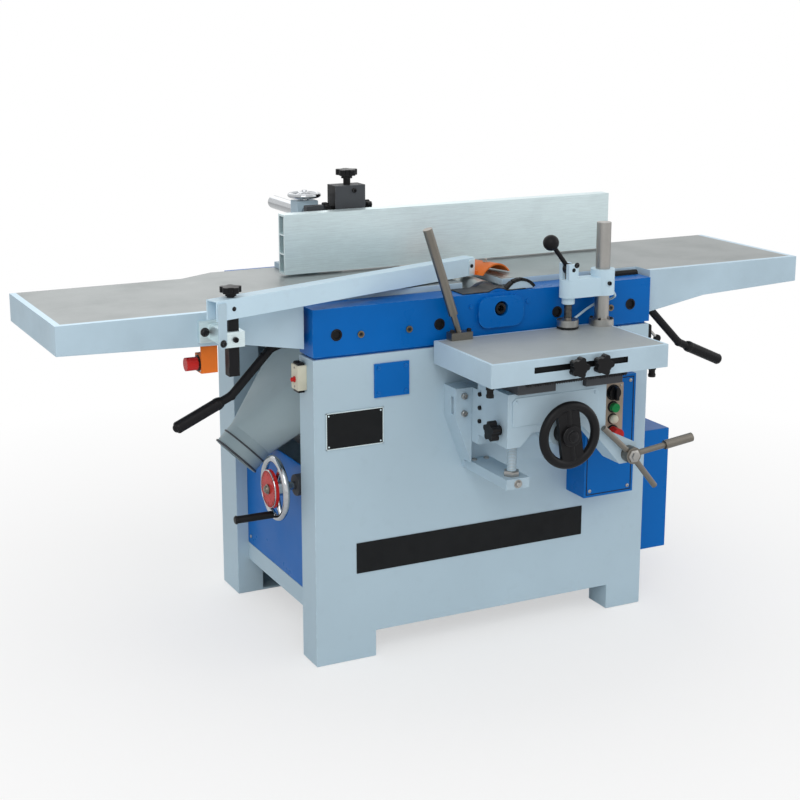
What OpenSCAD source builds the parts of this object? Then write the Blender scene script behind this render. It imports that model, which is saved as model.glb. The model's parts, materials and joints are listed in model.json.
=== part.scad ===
// Combination planer thicknesser with a slot mortiser on its front.
// X runs along the tables, Y from the operator's side to the back, Z up.
// The origin is on the floor at the centre of the four anchor bolt holes.

/* [Base] */
// Length of the base
base_l = 910; // [860:5:1000]
// Thickness of the folded sheet
sheet_t = 5; // [3:0.5:8]
// Depth of the folded front panel
front_box_d = 80; // [70:1:90]
// Depth of the folded rear panel
rear_box_d = 110; // [100:1:120]
// Height of the arch between the feet
arch_h = 65; // [40:1:80]
// Width of the left feet
left_foot_w = 155; // [110:1:180]
// Width of the right feet
right_foot_w = 102; // [95:1:150]
// Width of the lips that the rails are bolted to
lip_w = 70; // [64:1:80]
// Distance of the anchor holes from the ends
anchor_inset_x = 60; // [45:1:70]
// Distance of the anchor holes from the front and the back
anchor_inset_y = 40; // [30:1:50]
// Diameter of the anchor holes
anchor_d = 14; // [10:1:18]

/* [Rails and covers] */
// Distance of the rails from the ends
rail_inset = 30; // [20:1:34]
// Width of the rails
rail_w = 30; // [20:1:34]
// Height of the rails
rail_h = 46; // [30:1:60]
// Height of the rails' underside over the floor
rail_z = 95; // [75:1:120]
// Thickness of the end panels
end_panel_t = 4; // [2:0.5:6]
// Distance of the end panels' top edge below the bed's top
panel_drop = 55; // [50:1:90]
// Depth that the motor cover stands out from the rail
cover_d = 168; // [150:1:200]

/* [Casting] */
// Height of the narrow plinth under the casting
plinth_h = 6; // [3:0.5:10]
// Distance of the plinth from the casting's faces
plinth_inset = 8; // [4:0.5:12]
// Height of the cheeks
body_h = 110; // [104:1:116]
// Depth of each cheek
cheek_d = 76; // [70:1:79]
// Wall thickness of the casting
cheek_wall = 14; // [10:0.5:18]
// Width between the cheeks
work_w = 408; // [380:1:450]
// Depth of the base's top behind the casting
rear_ledge = 64; // [54:1:74]
// Radius of the tie bars
tie_r = 15; // [10:0.5:18]
// Distance of the tie bars from the base's ends
tie_inset = 175; // [150:1:190]
// Height of the tie bars over the base
tie_rise = 38; // [34:0.5:42]
// Width of the raised bearing cap
cap_w = 122; // [110:1:140]
// Height of the raised bearing cap
cap_h = 74; // [66:1:78]
// Height that the bearing cap stands out
cap_d = 10; // [5:0.5:12]
// Corner radius of the bearing cap
cap_corner = 26; // [15:1:32]

/* [Cutterblock and feed rollers] */
// Height of the table tops
table_h = 870; // [800:1:950]
// Cutting radius
cutter_r = 52; // [50:0.5:54]
// Place of the cutterblock along the base, from its middle
cutter_x = 25; // [15:1:30]
// Radius of the shaft in its bearings
journal_r = 15; // [12:0.5:17]
// Outer radius of the bearings
bearing_r = 31; // [28:0.5:33]
// Width of the bearings
bearing_w = 18; // [12:0.5:22]
// Wall round the bearings
housing_t = 14; // [10:0.5:15]
// Radius of the bore for mortising tools
tool_bore_r = 8; // [5:0.5:10]
// Depth of the bore for mortising tools
tool_bore_l = 45; // [30:1:55]
// Number of knives
knife_count = 3; // [2:1:4]
// Radius of the feed rollers
roller_r = 22; // [18:0.5:23]
// Distance of the feed rollers from the cutterblock
roller_spread = 89; // [86:0.5:91]
// Depth of the feed rollers below the cutting circle
roller_low = 3; // [2:0.5:5]
// Radius of the rollers' journals
roller_pin_r = 9; // [6:0.5:10]

/* [Tables] */
// Reach of the outfeed table, from the base's middle
outfeed_reach = 1029; // [900:1:1060]
// Reach of the infeed table, from the base's middle
infeed_reach = 931; // [850:1:980]
// Height of the table tops over the casting
table_rise = 14; // [10:0.5:18]
// Distance of the tables' front edge behind the base's front
table_back = 20; // [10:1:30]
// Thickness of the table plates
deck_t = 18; // [14:0.5:22]
// Thickness of the tables' side walls
skirt_t = 12; // [8:0.5:16]
// Depth of the tables at their outer ends
skirt_end = 65; // [50:1:75]
// Depth of the tables beside the casting
skirt_root = 106; // [95:1:110]
// Gap between the tables' lips and the cutterblock's axis
lip_gap = 54; // [52:0.5:60]

/* [Table levers] */
// Distance of the outer eccentric shafts from the base's ends
shaft_inset = 58; // [50:1:70]
// Place of the inner eccentric shafts, from the cutterblock's axis
shaft_inner = 160; // [155:1:175]
// Height of the eccentric shafts over the casting's underside
shaft_rise = 48; // [46:0.5:52]
// Radius of the eccentric shafts
shaft_r = 12; // [10:0.5:13]
// Radius of the eccentric lobes
lobe_r = 20; // [18:0.5:20]
// Throw of the eccentric lobes
lobe_throw = 9; // [6:0.5:9]
// Reach of the levers from their shafts
lever_reach = 349; // [300:1:380]
// Fall of the levers' ends below their shafts
lever_fall = 196; // [160:1:210]
// Radius of the lever bars
lever_r = 10; // [7:0.5:11]
// Radius of the lever grips
grip_r = 14; // [11:0.5:16]

/* [Thicknesser bed and lift] */
// Length of the bed
bed_l = 740; // [680:1:760]
// Thickness of the bed
bed_t = 45; // [35:1:50]
// Height of the space over the bed at rest
bed_room = 60; // [57:1:65]
// Gap beside the bed
bed_gap = 8; // [6:0.5:12]
// Radius of the lift column
column_r = 40; // [30:0.5:45]
// Wall of the tube that guides the column
tube_t = 15; // [8:0.5:20]
// Radius of the lift handwheel
wheel_r = 78; // [65:1:80]
// Distance of the handwheel outside the base's end
wheel_out = 42; // [36:1:50]
// Distance of the handwheel's shaft below the bed's top
wheel_drop = 97; // [90:1:101]
// Distance of the handwheel's shaft behind the base's front
wheel_y = 137; // [130:1:140]
// Radius of the handwheel's shaft
wheel_shaft_r = 10; // [8:0.5:11]

/* [Dust hood] */
// Radius of the hose collar, outside
collar_r = 60; // [50:0.5:62]
// Length of the hose collar
collar_l = 60; // [40:1:70]
// Thickness of the hood's sheet
hood_t = 3; // [2:0.5:4]
// Distance of the hood from the cheeks
hood_side = 58; // [54:1:80]
// Height of the hood inside the machine
hood_h = 141; // [120:1:150]
// Distance of the hood's flange below the base's top
hood_drop = 34; // [28:1:40]
// Distance of the collar's mouth outside the base's end
collar_out = 68; // [60:1:75]
// Distance of the collar's mouth below the hood's floor
collar_drop = 129; // [120:1:135]
// Distance of the collar's mouth behind the middle of the tables
collar_back = 50; // [40:1:60]

/* [Fence] */
// Length of the fence
fence_l = 930; // [800:5:960]
// Height of the fence
fence_h = 146; // [120:1:160]
// Thickness of the fence
fence_t = 36; // [24:1:38]
// Distance of the fence's face in front of the rear cheek
fence_in = 156; // [150:1:165]
// Place of the fence's left end, right of the base's left end
fence_x = 70; // [50:1:90]
// Gap between the fence and the tables
fence_gap = 6; // [6:0.5:10]
// Radius of the fence bar
bar_r = 17; // [12:0.5:18]
// Length of the fence bar
bar_l = 290; // [270:1:310]
// Place of the fence bar, right of the fence's left end
bar_x = 108; // [104:1:114]

/* [Cutter guard] */
// Length of the guard's beam
guard_l = 787; // [760:1:800]
// Height of the guard's beam
guard_h = 44; // [38:1:48]
// Width of the guard's beam
guard_w = 36; // [28:1:40]
// Angle of the guard's beam to the tables
guard_angle = 17.9; // [15:0.1:19]
// Distance of the guard's post in front of the base's front
post_out = 69; // [60:1:75]
// Place of the guard's post, left of the cutterblock's axis
post_left = 697; // [680:1:710]
// Width of the guard's post
post_w = 24; // [16:0.5:26]
// Length of the guard's post
post_l = 126; // [110:1:140]

/* [Mortiser] */
// Length of the mortiser's table
mort_l = 467; // [420:1:480]
// Depth of the mortiser's table
mort_d = 271; // [240:1:275]
// Height of the mortiser's table casting
mort_h = 54; // [48:1:58]
// Distance of the mortiser's table top below the cutterblock's axis
mort_drop = 58; // [54:1:66]
// Place of the mortiser's table, from the base's middle
mort_x = 75; // [65:1:85]
// Gap between the mortiser's table and the base's front
mort_gap = 15; // [13:0.5:20]
// Radius of the clamp's column
clamp_r = 17.5; // [14:0.5:19]
// Height of the clamp's column over the table
clamp_h = 250; // [220:1:270]
// Reach of the clamp's arm
clamp_reach = 96; // [80:1:110]
// Radius of the height handwheel
height_r = 79; // [72:1:86]
// Length of the long bar on the cross lever
cross_l = 172; // [140:1:180]
// Length of the push rod on the mortiser's table
push_l = 268; // [220:1:290]

/* [Switches] */
// Width of the control box
control_w = 142; // [125:1:150]
// Depth of the control box
control_d = 80; // [60:1:84]
// Width of the orange switch box
box_w = 38; // [34:1:46]
// Radius of the stop buttons
stop_r = 15; // [11:0.5:16]

/* [Hidden] */
$fn = 48;
over = 1;
gap = 0.3;
run = 0.05;
seam = 0.02;
base_d = work_w + 2 * cheek_d + rear_ledge;
base_h = table_h - table_rise - body_h - plinth_h;
left_x = -base_l / 2;
right_x = base_l / 2;
front_y = -base_d / 2;
back_y = base_d / 2;
box_in_y = front_y + front_box_d;
rear_in_y = back_y - rear_box_d;
rail_top = rail_z + rail_h;
body_z = base_h + plinth_h;
body_top = body_z + body_h;
cheek_in_y = front_y + cheek_d;
rear_cheek_y = cheek_in_y + work_w;
rear_wall_y = rear_cheek_y + cheek_d;
mid_y = cheek_in_y + work_w / 2;
cutter_z = table_h - cutter_r;
side_gap = 6;
inner_front = cheek_in_y + side_gap;
inner_back = rear_cheek_y - side_gap;
hood_top = base_h - hood_drop;
hood_floor = hood_top - hood_h;
bed_top = hood_floor - bed_room;
end_panel_top = bed_top - panel_drop;

// End panels and motor cover
window_in = 30;
window_low = 14;
window_high = 24;
cover_back = 33;
cover_rise = 10;
cover_low = 19;

// Casting
boss_r = 24;
roller_boss_r = 17;
roller_z = cutter_z - cutter_r - roller_low + roller_r;
roller_pin_l = 36;
shaft_z = body_z + shaft_rise;
shaft_xs = [
  left_x + shaft_inset, cutter_x - shaft_inner, cutter_x + shaft_inner, right_x - shaft_inset
];
shaft_end = 12;
roller_xs = [cutter_x - roller_spread, cutter_x + roller_spread];
housing_r = bearing_r + housing_t;
seat_inset = 8;
front_seat_y = cheek_in_y - seat_inset - bearing_w;
rear_seat_y = rear_cheek_y + seat_inset;
nose_wall = 5;
nose_r = tool_bore_r + nose_wall;
nose_room = 5;
nose_hole_r = nose_r + nose_room;
nose_in = 3;
nose_y = front_y - cap_d + nose_in;
cap_drop = 8;
cap_mid_z = body_top - cap_drop - cap_h / 2;
bolt_r = 8;
bolt_head = 3;
bolt_x_shares = [-0.74, -0.47, 0.745];
bolt_rise = 44;
cap_bolt_r = 5;
cap_bolt_gap = 16;

// Cutterblock and drive
knife_t = 3;
knife_depth = 20;
knife_proud = 1.2;
// A knife's flat tip stays inside the cutting circle at its outer corner
knife_tip_share = 0.9;
block_r = cutter_r - knife_proud;
gib_w = 12;
gib_depth = 15;
pulley_r = 40;
pulley_w = 24;
pulley_gap = 6;
pulley_y = rear_wall_y + pulley_gap;
belt_t = 6;
belt_w = 18;
motor_pulley_r = 58;
motor_in = 86;
motor_x = right_x - motor_in;
motor_r_share = 0.25;
motor_r = motor_r_share * (end_panel_top - rail_top);
motor_shaft_r = 14;
motor_shaft_in = 60;
motor_foot_h = 18;
motor_foot_w = 96;
shelf_t = 8;
shelf_w = 150;
motor_z = rail_top + shelf_t + motor_foot_h + motor_r;
motor_front = 84;
motor_back = 80;
motor_y = box_in_y + motor_front;
motor_l = rear_in_y - motor_back - motor_y;
motor_bell_l = 36;
motor_bell_share = 0.85;
motor_bell_r = motor_bell_share * motor_r;
terminal_w = 90;
terminal_h = 34;
belt_slant = 90;
belt_slot_w = 2 * (pulley_r + belt_t) + belt_slant;
drive_cover_w = 250;
drive_cover_rise = 12;
drive_cover_top = table_h + drive_cover_rise;
drive_cover_shift = 50;

// Tables
lobe_w = 24;
rib_t = 12;
lobe_gap = 0.5;
rib_low = shaft_z + lobe_r + lobe_gap;
rib_side = 59;
lobe_ys = [cheek_in_y + rib_side, rear_cheek_y - rib_side];
rib_mid_ys = [lobe_ys[0], mid_y, lobe_ys[1]];
table_front_y = front_y + table_back;
table_back_y = table_front_y + work_w;
body_gap_x = 12;
flare_in = 68;
flare_out = 160;
skirt_knee = 168;
skirt_knee_share = 0.3;
lever_in = 17;
lever_y = cheek_in_y + lever_in;
lever_hub_r = 23;
lever_hub_w = 22;
elbow_rise = 1;
elbow_r = lever_r + elbow_rise;
lever_shares = [[0, 0], [0.35, 0.19], [0.63, 0.7], [1, 1]];
grip_l = 110;

// Bed and lift
bed_rib_t = 14;
bed_deck_t = 18;
bed_pad_share = 1.5;
bed_x = 0;
column_y = mid_y;
column_rise = 59;
column_low = rail_top + column_rise;
beam_w = 130;
wheel_z = bed_top - wheel_drop;
tube_drop = 12;
tube_top = wheel_z - tube_drop;
tube_foot_h = 12;
gear_w = 92;
gear_h = 40;
gear_drop = 28;
gear_low = wheel_z - gear_drop;
gear_left = 52;
gear_x = bed_x - gear_left;
wheel_rim_r = 8;
wheel_hub_r = 20;
wheel_hub_l = 30;
wheel_spoke_r = 6;
wheel_spokes = 3;
wheel_face_x = left_x - wheel_out;
crank_r = 9;
crank_l = 100;
crank_share = 0.82;
dial_r = 46;
dial_t = 10;
bush_r = 26;
bush_l = 26;

// Dust hood
hood_w = work_w - 2 * hood_side;
hood_left = 90;
hood_end = 10;
mouth_w = 170;
mouth_x0 = cutter_x - mouth_w / 2;
mouth_x1 = cutter_x + mouth_w / 2;
rail_leg_t = 3;
rail_foot_w = 54;
rail_left = 96;
rail_end = 5;
flange_w = 26;
hood_rail_z = hood_top - hood_t - gap;
funnel_t = 2;
collar_z = hood_floor - collar_drop;
collar_turn = 135;

// Fence
fence_low = table_h + fence_gap;
fence_top = fence_low + fence_h;
fence_face_y = rear_cheek_y - fence_in;
fence_back_y = fence_face_y + fence_t;
fence_left = left_x + fence_x;
fence_wall = 5;
fence_web = 4;
carriage_gap = 4;
carriage_y = fence_back_y + carriage_gap;
carriage_t = 22;
carriage_in = 52;
carriage_l = 218;
carriage_left = fence_left + carriage_in;
carriage_right = carriage_left + carriage_l;
carriage_drop = 56;
carriage_low = fence_top - carriage_drop;
bar_drop = 14;
bar_z = fence_top - bar_drop;
bar_boss_t = 6;
bar_boss_d = 16;
bar_x_at = fence_left + bar_x;
pedestal_w = 56;
pedestal_d = 44;
pedestal_gap = 44;
foot_front = 34;
pedestal_y = carriage_y + carriage_t + pedestal_gap;
pedestal_wall = 12;
pedestal_top = bar_z + bar_r + pedestal_wall;
pedestal_foot_l = 150;
pedestal_foot_t = 14;
lock_wheel_r = 42;
lock_rim_r = 6;
lock_stem_r = 11;
lock_stem_h = 13;
lock_hub_r = 15;
lock_spokes = 3;
tilt_in = 207;
tilt_x = fence_left + tilt_in;
tilt_w = 82;
tilt_d = 54;
tilt_rise = 53;
tilt_top = fence_top + tilt_rise;
hinge_r = 8;
hinge_eye_r = 14;
hinge_eye_w = 26;
hinge_drop = 24;
hinge_z = fence_top - hinge_drop;
hinge_room = 2;
hinge_y = fence_back_y + hinge_eye_r + hinge_room;
hinge_eye_gap = 0.6;
hinge_offset = 60;
fence_knob_r = 28;
fence_knob_h = 22;
fence_stem_r = 9;
fence_stem_h = 16;
side_knob_r = 17;
side_knob_l = 24;
side_knob_drop = 60;

// Cutter guard
post_x = cutter_x - post_left;
post_y = front_y - post_out;
guard_rise = 3;
guard_low = table_h + guard_rise;
guard_tail = 52;
guard_wall = 3;
pin_r = 8;
bracket_w = 90;
bracket_h = 48;
bracket_t = 12;
bracket_drop = 65;
bracket_z = table_h - bracket_drop;
bracket_arm_w = 44;
bracket_arm_h = 34;
guard_knob_r = 24;
guard_knob_h = 20;
guard_plate_t = 6;
guard_hood_r = 64;
guard_hood_t = 4;
guard_hood_w = 78;
guard_hood_share = 0.62;
guard_hood_reach_share = 0.9;
guard_foot_l = 14;
guard_foot_h = 10;

// Mortiser
mort_top = cutter_z - mort_drop;
mort_y1 = front_y - mort_gap;
mort_y0 = mort_y1 - mort_d;
mort_x0 = mort_x - mort_l / 2;
mort_x1 = mort_x + mort_l / 2;
mort_low = mort_top - mort_h;
mort_deck = 22;
mort_wall = 14;
mort_mid_y = mort_y1 - mort_d / 2;
mort_slot_h = 13;
mort_slot_d = 8;
mort_slot_drop = 24;
mort_slot_left_share = 0.235;
mort_slot_right_share = 0.76;
key_w = 60;
key_h = 24;
saddle_t = 35;
saddle_l = 280;
saddle_d = 180;
saddle_out = 63;
saddle_y1 = front_y - saddle_out;
saddle_low = mort_low - gap - saddle_t;
knee_top = saddle_low - gap;
knee_key_w = 80;
knee_key_h = 18;
knee_out = 90;
knee_d = 138;
knee_y1 = front_y - knee_out;
knee_y0 = knee_y1 - knee_d;
knee_h = 125;
knee_w = 262;
knee_cheek_w = 34;
knee_arch_rise = 30;
knee_arch_slope = 30;
knee_left = 26;
knee_x = mort_x - knee_left;
knee_wall = 18;
ear_d = 70;
ear_right = 171;
ear_drop = 178;
ear_x = mort_x + ear_right;
ear_z = knee_top - ear_drop;
ear_w = 46;
ear_h = 46;
ear_lap = 12;
way_w = 42;
way_d = 40;
way_plate_t = 20;
way_half = 171;
way_l = 210;
way_taper = 52;
way_taper_drop = 74;
way_drop = 20;
way_top = knee_top - way_drop;
way_low = way_top - way_l;
way_pocket_share = 0.7;
tongue_gap = 0.5;
tongue_h = 150;
screw_r = 11;
screw_left = 115;
screw_out = 178;
screw_x = mort_x - screw_left;
screw_y = front_y - screw_out;
screw_gap = 0.5;
arm_h = 24;
arm_w = 60;
arm_low = way_low;
screw_drop = 130;
screw_top = knee_top - screw_drop;
screw_room = 58;
height_right = -19;
height_drop = 99;
height_out = 42;
height_x = mort_x + height_right;
height_z = knee_top - height_drop;
height_y = knee_y0 - height_out;
height_rim_r = 11;
height_hub_r = 24;
height_shaft_r = 12;
height_shaft_in = 60;
height_boss_r = 34;
height_boss_l = 12;
height_spokes = 2;
height_spoke_r = 9;
height_web_w = 56;
height_web_t = 12;
height_web_turn = 8;
cross_hub_r = 20;
cross_hub_l = 22;
cross_bar_r = 7;
cross_bar_l = 110;
cross_grip_r = 11;
cross_grip_l = 78;
cross_out = 14;
cross_y = knee_y0 - cross_out;
cross_shaft_r = 10;
cross_shaft_in = 60;
cross_turns = [7, 137, -51];
stop_knob_right = 12;
stop_knob_half = 32;
stop_knob_xs = [stop_knob_right - stop_knob_half, stop_knob_right + stop_knob_half];
stop_knob_r = 24;
stop_knob_l = 26;
lock_knob_r = 24;
lock_knob_l = 30;
lock_knob_in = 35;
lock_knob_drop = 89;
lock_knob_z = knee_top - lock_knob_drop;
push_r = 11;
push_neck_r = 7;
push_neck_share = 0.2;
push_lean = 18.6;
push_block_w = 56;
push_block_d = 26;
push_block_h = 18;
push_block_in = 34;
clamp_in_x = 20;
clamp_in_y = 22;
clamp_x = mort_x1 - clamp_in_x;
clamp_y = mort_y1 - clamp_in_y;
clamp_foot_r = 30;
clamp_foot_h = 16;
arm_sleeve_r = 29;
arm_sleeve_h = 62;
arm_over = 76;
arm_z = mort_top + arm_over;
clamp_arm_w = 44;
clamp_arm_h = 44;
spindle_r = 9;
pad_r = 26;
pad_h = 20;
pad_gap = 2;
cam_w = 16;
cam_slot = 18;
cam_r = 13;
cam_rod_r = 5.5;
cam_rod_l = 84;
cam_ball_r = 19;
cam_lean = -38;
cam_rise = 24;
cam_pin_r = 5;

// Switches and plates
control_gap = 4;
control_x = knee_x + way_half + control_gap;
control_z_share = 17 / 37;
control_h_share = 15 / 37;
control_z = control_z_share * base_h;
control_h = control_h_share * base_h;
control_y = front_y - control_d;
plate_in = 38;
plate_x = control_x + plate_in;
plate_w = 66;
plate_drop = 170;
plate_z = control_z + control_h - plate_drop;
plate_h = 152;
plate_t = 3;
button_in = 36;
button_x = plate_x + button_in;
selector_rise = 130;
start_rise = 94;
lamp_rise = 64;
stop_rise = 30;
selector_r = 16;
selector_h = 22;
start_r = 11;
start_h = 12;
lamp_r = 11;
lamp_h = 8;
stop_h = 26;
stem_r = 7;
button_gap = 4;
stem_in = 20;
stripe_t = 1.5;
stripe_left = 104;
stripe_l = 622;
stripe_z_share = 54 / 185;
stripe_z = stripe_z_share * base_h;
stripe_h = 75;
name_left = 29;
name_w = 145;
name_drop = 213;
name_z = base_h - name_drop;
name_h = 87;
name_t = 2;
access_left = 151;
access_w = 89;
access_drop = 103;
access_z = base_h - access_drop;
access_h = 80;
access_t = 4;
access_screw_r = 4;
access_screw_inset = 10;
access_screw_h = 3;
switch_box_left = 35;
switch_box_x = post_x - switch_box_left;
switch_box_h = 40;
switch_box_d = 40;
switch_box_drop = 139;
switch_box_z = table_h - switch_box_drop;
switch_strap_t = 4;
switch_box_y = table_front_y + skirt_t;
left_stop_y = switch_box_y + switch_box_d / 2;
left_stop_z = switch_box_z + switch_box_h / 2;
limit_w = 22;
limit_d = 38;
limit_h = 58;
limit_drop = 76;
limit_z = base_h - limit_drop;

// Shared shapes
module along_y(d) {
  translate([0, d, 0]) rotate([90, 0, 0]) linear_extrude(d) children();
}

module along_x(d) {
  rotate([90, 0, 90]) linear_extrude(d) children();
}

module span(lo, hi) {
  translate(lo) cube(hi - lo);
}

module rod_y(x, z, y0, y1, r) {
  translate([x, y0, z]) rotate([-90, 0, 0]) cylinder(r = r, h = y1 - y0);
}

module rod_x(y, z, x0, x1, r) {
  translate([x0, y, z]) rotate([0, 90, 0]) cylinder(r = r, h = x1 - x0);
}

module rod_z(x, y, z0, z1, r) {
  translate([x, y, z0]) cylinder(r = r, h = z1 - z0);
}

module bar_xz(p, q, y, r) {
  translate([p[0], y, p[1]])
    rotate([0, atan2(q[0] - p[0], q[1] - p[1]), 0])
      cylinder(r = r, h = norm(q - p));
}

// A rectangle with round corners, centred on the origin
module round_rect(w, h, r) {
  square([w, h - 2 * r], center = true);
  square([w - 2 * r, h], center = true);
  for (sx = [-1, 1], sy = [-1, 1])
    translate([sx * (w / 2 - r), sy * (h / 2 - r)]) circle(r);
}

// A lobed hand knob that stands on the origin, with its axis along Z
module star_knob(r, h, lobes = 5) {
  hub_share = 0.74;
  lobe_share = 0.3;
  neck_share = 0.5;
  neck_h_share = 0.35;
  cylinder(r = neck_share * r, h = h / 2);
  translate([0, 0, neck_h_share * h]) linear_extrude(h - neck_h_share * h) {
    circle(hub_share * r);
    for (i = [0 : lobes - 1])
      rotate(i * 360 / lobes) translate([r - lobe_share * r, 0]) circle(lobe_share * r);
  }
}

// A handwheel in the plane of the origin, with its axis along Z and a hub that reaches below it
module spoked_wheel(r, rim_r, hub_r, hub_l, spoke_r, spokes) {
  rotate_extrude() translate([r - rim_r, 0]) circle(rim_r);
  translate([0, 0, -hub_l]) cylinder(r = hub_r, h = hub_l + rim_r);
  for (i = [0 : spokes - 1])
    rotate([0, 90, i * 360 / spokes + 90])
      cylinder(r = spoke_r, h = r - rim_r);
}

// Base
function panel_outline(i) = [
  [i, i],
  [left_foot_w - i, i],
  [left_foot_w - i, arch_h + i],
  [base_l - right_foot_w + i, arch_h + i],
  [base_l - right_foot_w + i, i],
  [base_l - i, i],
  [base_l - i, base_h - i],
  [i, base_h - i]
];

// A folded panel with its face at y = 0, open at the back between two lips
module folded_panel(d) {
  difference() {
    union() {
      difference() {
        along_y(d) polygon(panel_outline(0));
        translate([0, sheet_t, 0]) along_y(d) polygon(panel_outline(sheet_t));
      }
      for (x = [0, base_l - lip_w])
        span([x, d - sheet_t, 0], [x + lip_w, d, base_h]);
    }
    for (x = [anchor_inset_x, base_l - anchor_inset_x])
      rod_z(x, anchor_inset_y, -over, sheet_t + over, anchor_d / 2);
  }
}

module base_front_panel() {
  color("lightsteelblue") translate([left_x, front_y, 0]) folded_panel(front_box_d);
}

module base_rear_panel() {
  slot_x = cutter_x - pulley_r - belt_t - sheet_t;
  color("lightsteelblue") difference() {
    translate([left_x, back_y, 0]) mirror([0, 1, 0]) folded_panel(rear_box_d);
    span(
      [slot_x, pulley_y - pulley_gap, base_h - sheet_t - over],
      [slot_x + belt_slot_w, pulley_y + pulley_w + pulley_gap, base_h + over]
    );
  }
}

module cross_rails() {
  color("lightsteelblue") {
    for (x = [left_x + rail_inset, right_x - rail_inset - rail_w])
      span([x, box_in_y, rail_z], [x + rail_w, rear_in_y, rail_top]);
    span(
      [left_x + rail_inset + rail_w, column_y - beam_w / 2, rail_z],
      [right_x - rail_inset - rail_w, column_y + beam_w / 2, rail_top]
    );
    span(
      [motor_x - shelf_w / 2, box_in_y, rail_top],
      [right_x - rail_inset - end_panel_t, rear_in_y, rail_top + shelf_t]
    );
    for (side = [0, 1]) hood_rail(side);
  }
}

// An angle rail that carries one edge of the hood, on the inside of a cheek
module hood_rail(side) {
  y = side == 0 ? box_in_y : rear_cheek_y;
  top = side == 0 ? base_h : body_z + cheek_wall;
  leg_z = hood_rail_z - rail_leg_t;
  l = mouth_x1 - rail_end - left_x - rail_left;
  translate([left_x + rail_left, y, leg_z]) mirror([0, side, 0]) {
    cube([l, rail_leg_t, top - leg_z]);
    cube([l, rail_foot_w, rail_leg_t]);
  }
}

module end_panels() {
  color("royalblue") {
    difference() {
      span(
        [left_x + rail_inset, box_in_y, rail_top],
        [left_x + rail_inset + end_panel_t, rear_in_y, end_panel_top]
      );
      rod_x(front_y + wheel_y, wheel_z, left_x, left_x + rail_inset + rail_w, bush_r - sheet_t);
    }
    difference() {
      span(
        [right_x - rail_inset - end_panel_t, box_in_y, rail_top],
        [right_x - rail_inset, rear_in_y, end_panel_top]
      );
      span(
        [motor_x, box_in_y + window_in, rail_top + window_low],
        [right_x, rear_in_y - window_in, end_panel_top - window_high]
      );
    }
  }
}

module front_plates() {
  color("black") {
    translate([left_x + stripe_left, front_y - stripe_t, stripe_z])
      cube([stripe_l, stripe_t, stripe_h]);
    translate([left_x + name_left, front_y - name_t, name_z])
      cube([name_w, name_t, name_h]);
  }
}

module access_cover() {
  color("royalblue") translate([left_x + access_left, front_y - access_t, access_z]) {
    cube([access_w, access_t, access_h]);
    for (x = [access_screw_inset, access_w - access_screw_inset])
      for (z = [access_screw_inset, access_h - access_screw_inset])
        rod_y(x, z, -access_screw_h, 0, access_screw_r);
  }
}

module motor_cover() {
  x0 = right_x - rail_inset;
  y0 = box_in_y + sheet_t;
  y1 = rear_in_y - cover_back;
  z0 = rail_z + cover_rise;
  z1 = end_panel_top - cover_low;
  color("royalblue") difference() {
    span([x0, y0, z0], [x0 + cover_d, y1, z1]);
    span([x0 - over, y0 + sheet_t, z0 + sheet_t], [x0 + cover_d - sheet_t, y1 - sheet_t, z1 - sheet_t]);
  }
}

// Casting
cheek_outline = [
  [0, 0],
  [cheek_d, 0],
  [cheek_d, cheek_wall],
  [cheek_wall, cheek_wall],
  [cheek_wall, body_h - cheek_wall],
  [cheek_d, body_h - cheek_wall],
  [cheek_d, body_h],
  [0, body_h]
];

module cheek() {
  along_x(base_l) polygon(cheek_outline);
  for (x = [0, base_l - cheek_wall]) span([x, 0, 0], [x + cheek_wall, cheek_d, body_h]);
}

module main_body() {
  color("royalblue") difference() {
    union() {
      translate([left_x, front_y, body_z]) cheek();
      translate([left_x, rear_wall_y, body_z]) mirror([0, 1, 0]) cheek();
      span(
        [left_x + plinth_inset, front_y + plinth_inset, base_h],
        [right_x - plinth_inset, cheek_in_y - plinth_inset, body_z]
      );
      span(
        [left_x + plinth_inset, rear_in_y + plinth_inset, base_h],
        [right_x - plinth_inset, rear_wall_y - plinth_inset, body_z]
      );
      for (x = [left_x + tie_inset, right_x - tie_inset])
        rod_y(x, base_h + tie_rise, front_y + cheek_wall / 2, rear_wall_y - cheek_wall / 2, tie_r);
      for (x = shaft_xs) cheek_bosses(x, shaft_z, boss_r);
      for (x = roller_xs) cheek_bosses(x, roller_z, roller_boss_r);
      cheek_bosses(cutter_x, cutter_z, housing_r);
      translate([cutter_x, front_y - cap_d, cap_mid_z])
        along_y(cap_d + cheek_wall / 2) round_rect(cap_w, cap_h, cap_corner);
    }
    for (x = shaft_xs) rod_y(x, shaft_z, front_y - over, rear_wall_y + over, shaft_r + run);
    for (x = roller_xs)
      rod_y(x, roller_z, cheek_in_y - roller_pin_l, rear_cheek_y + roller_pin_l, roller_pin_r + run);
    rod_y(cutter_x, cutter_z, front_seat_y, rear_seat_y + bearing_w, bearing_r);
    rod_y(cutter_x, cutter_z, front_y - cap_d - over, rear_wall_y + over, nose_hole_r);
  }
}

module cheek_bosses(x, z, r) {
  rod_y(x, z, front_y + cheek_wall / 2, cheek_in_y, r);
  rod_y(x, z, rear_cheek_y, rear_wall_y - cheek_wall / 2, r);
}

module cutter_bearings() {
  color("silver") for (y = [front_seat_y, rear_seat_y]) difference() {
    rod_y(cutter_x, cutter_z, y, y + bearing_w, bearing_r);
    rod_y(cutter_x, cutter_z, y - over, y + bearing_w + over, journal_r + run);
  }
}

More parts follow.
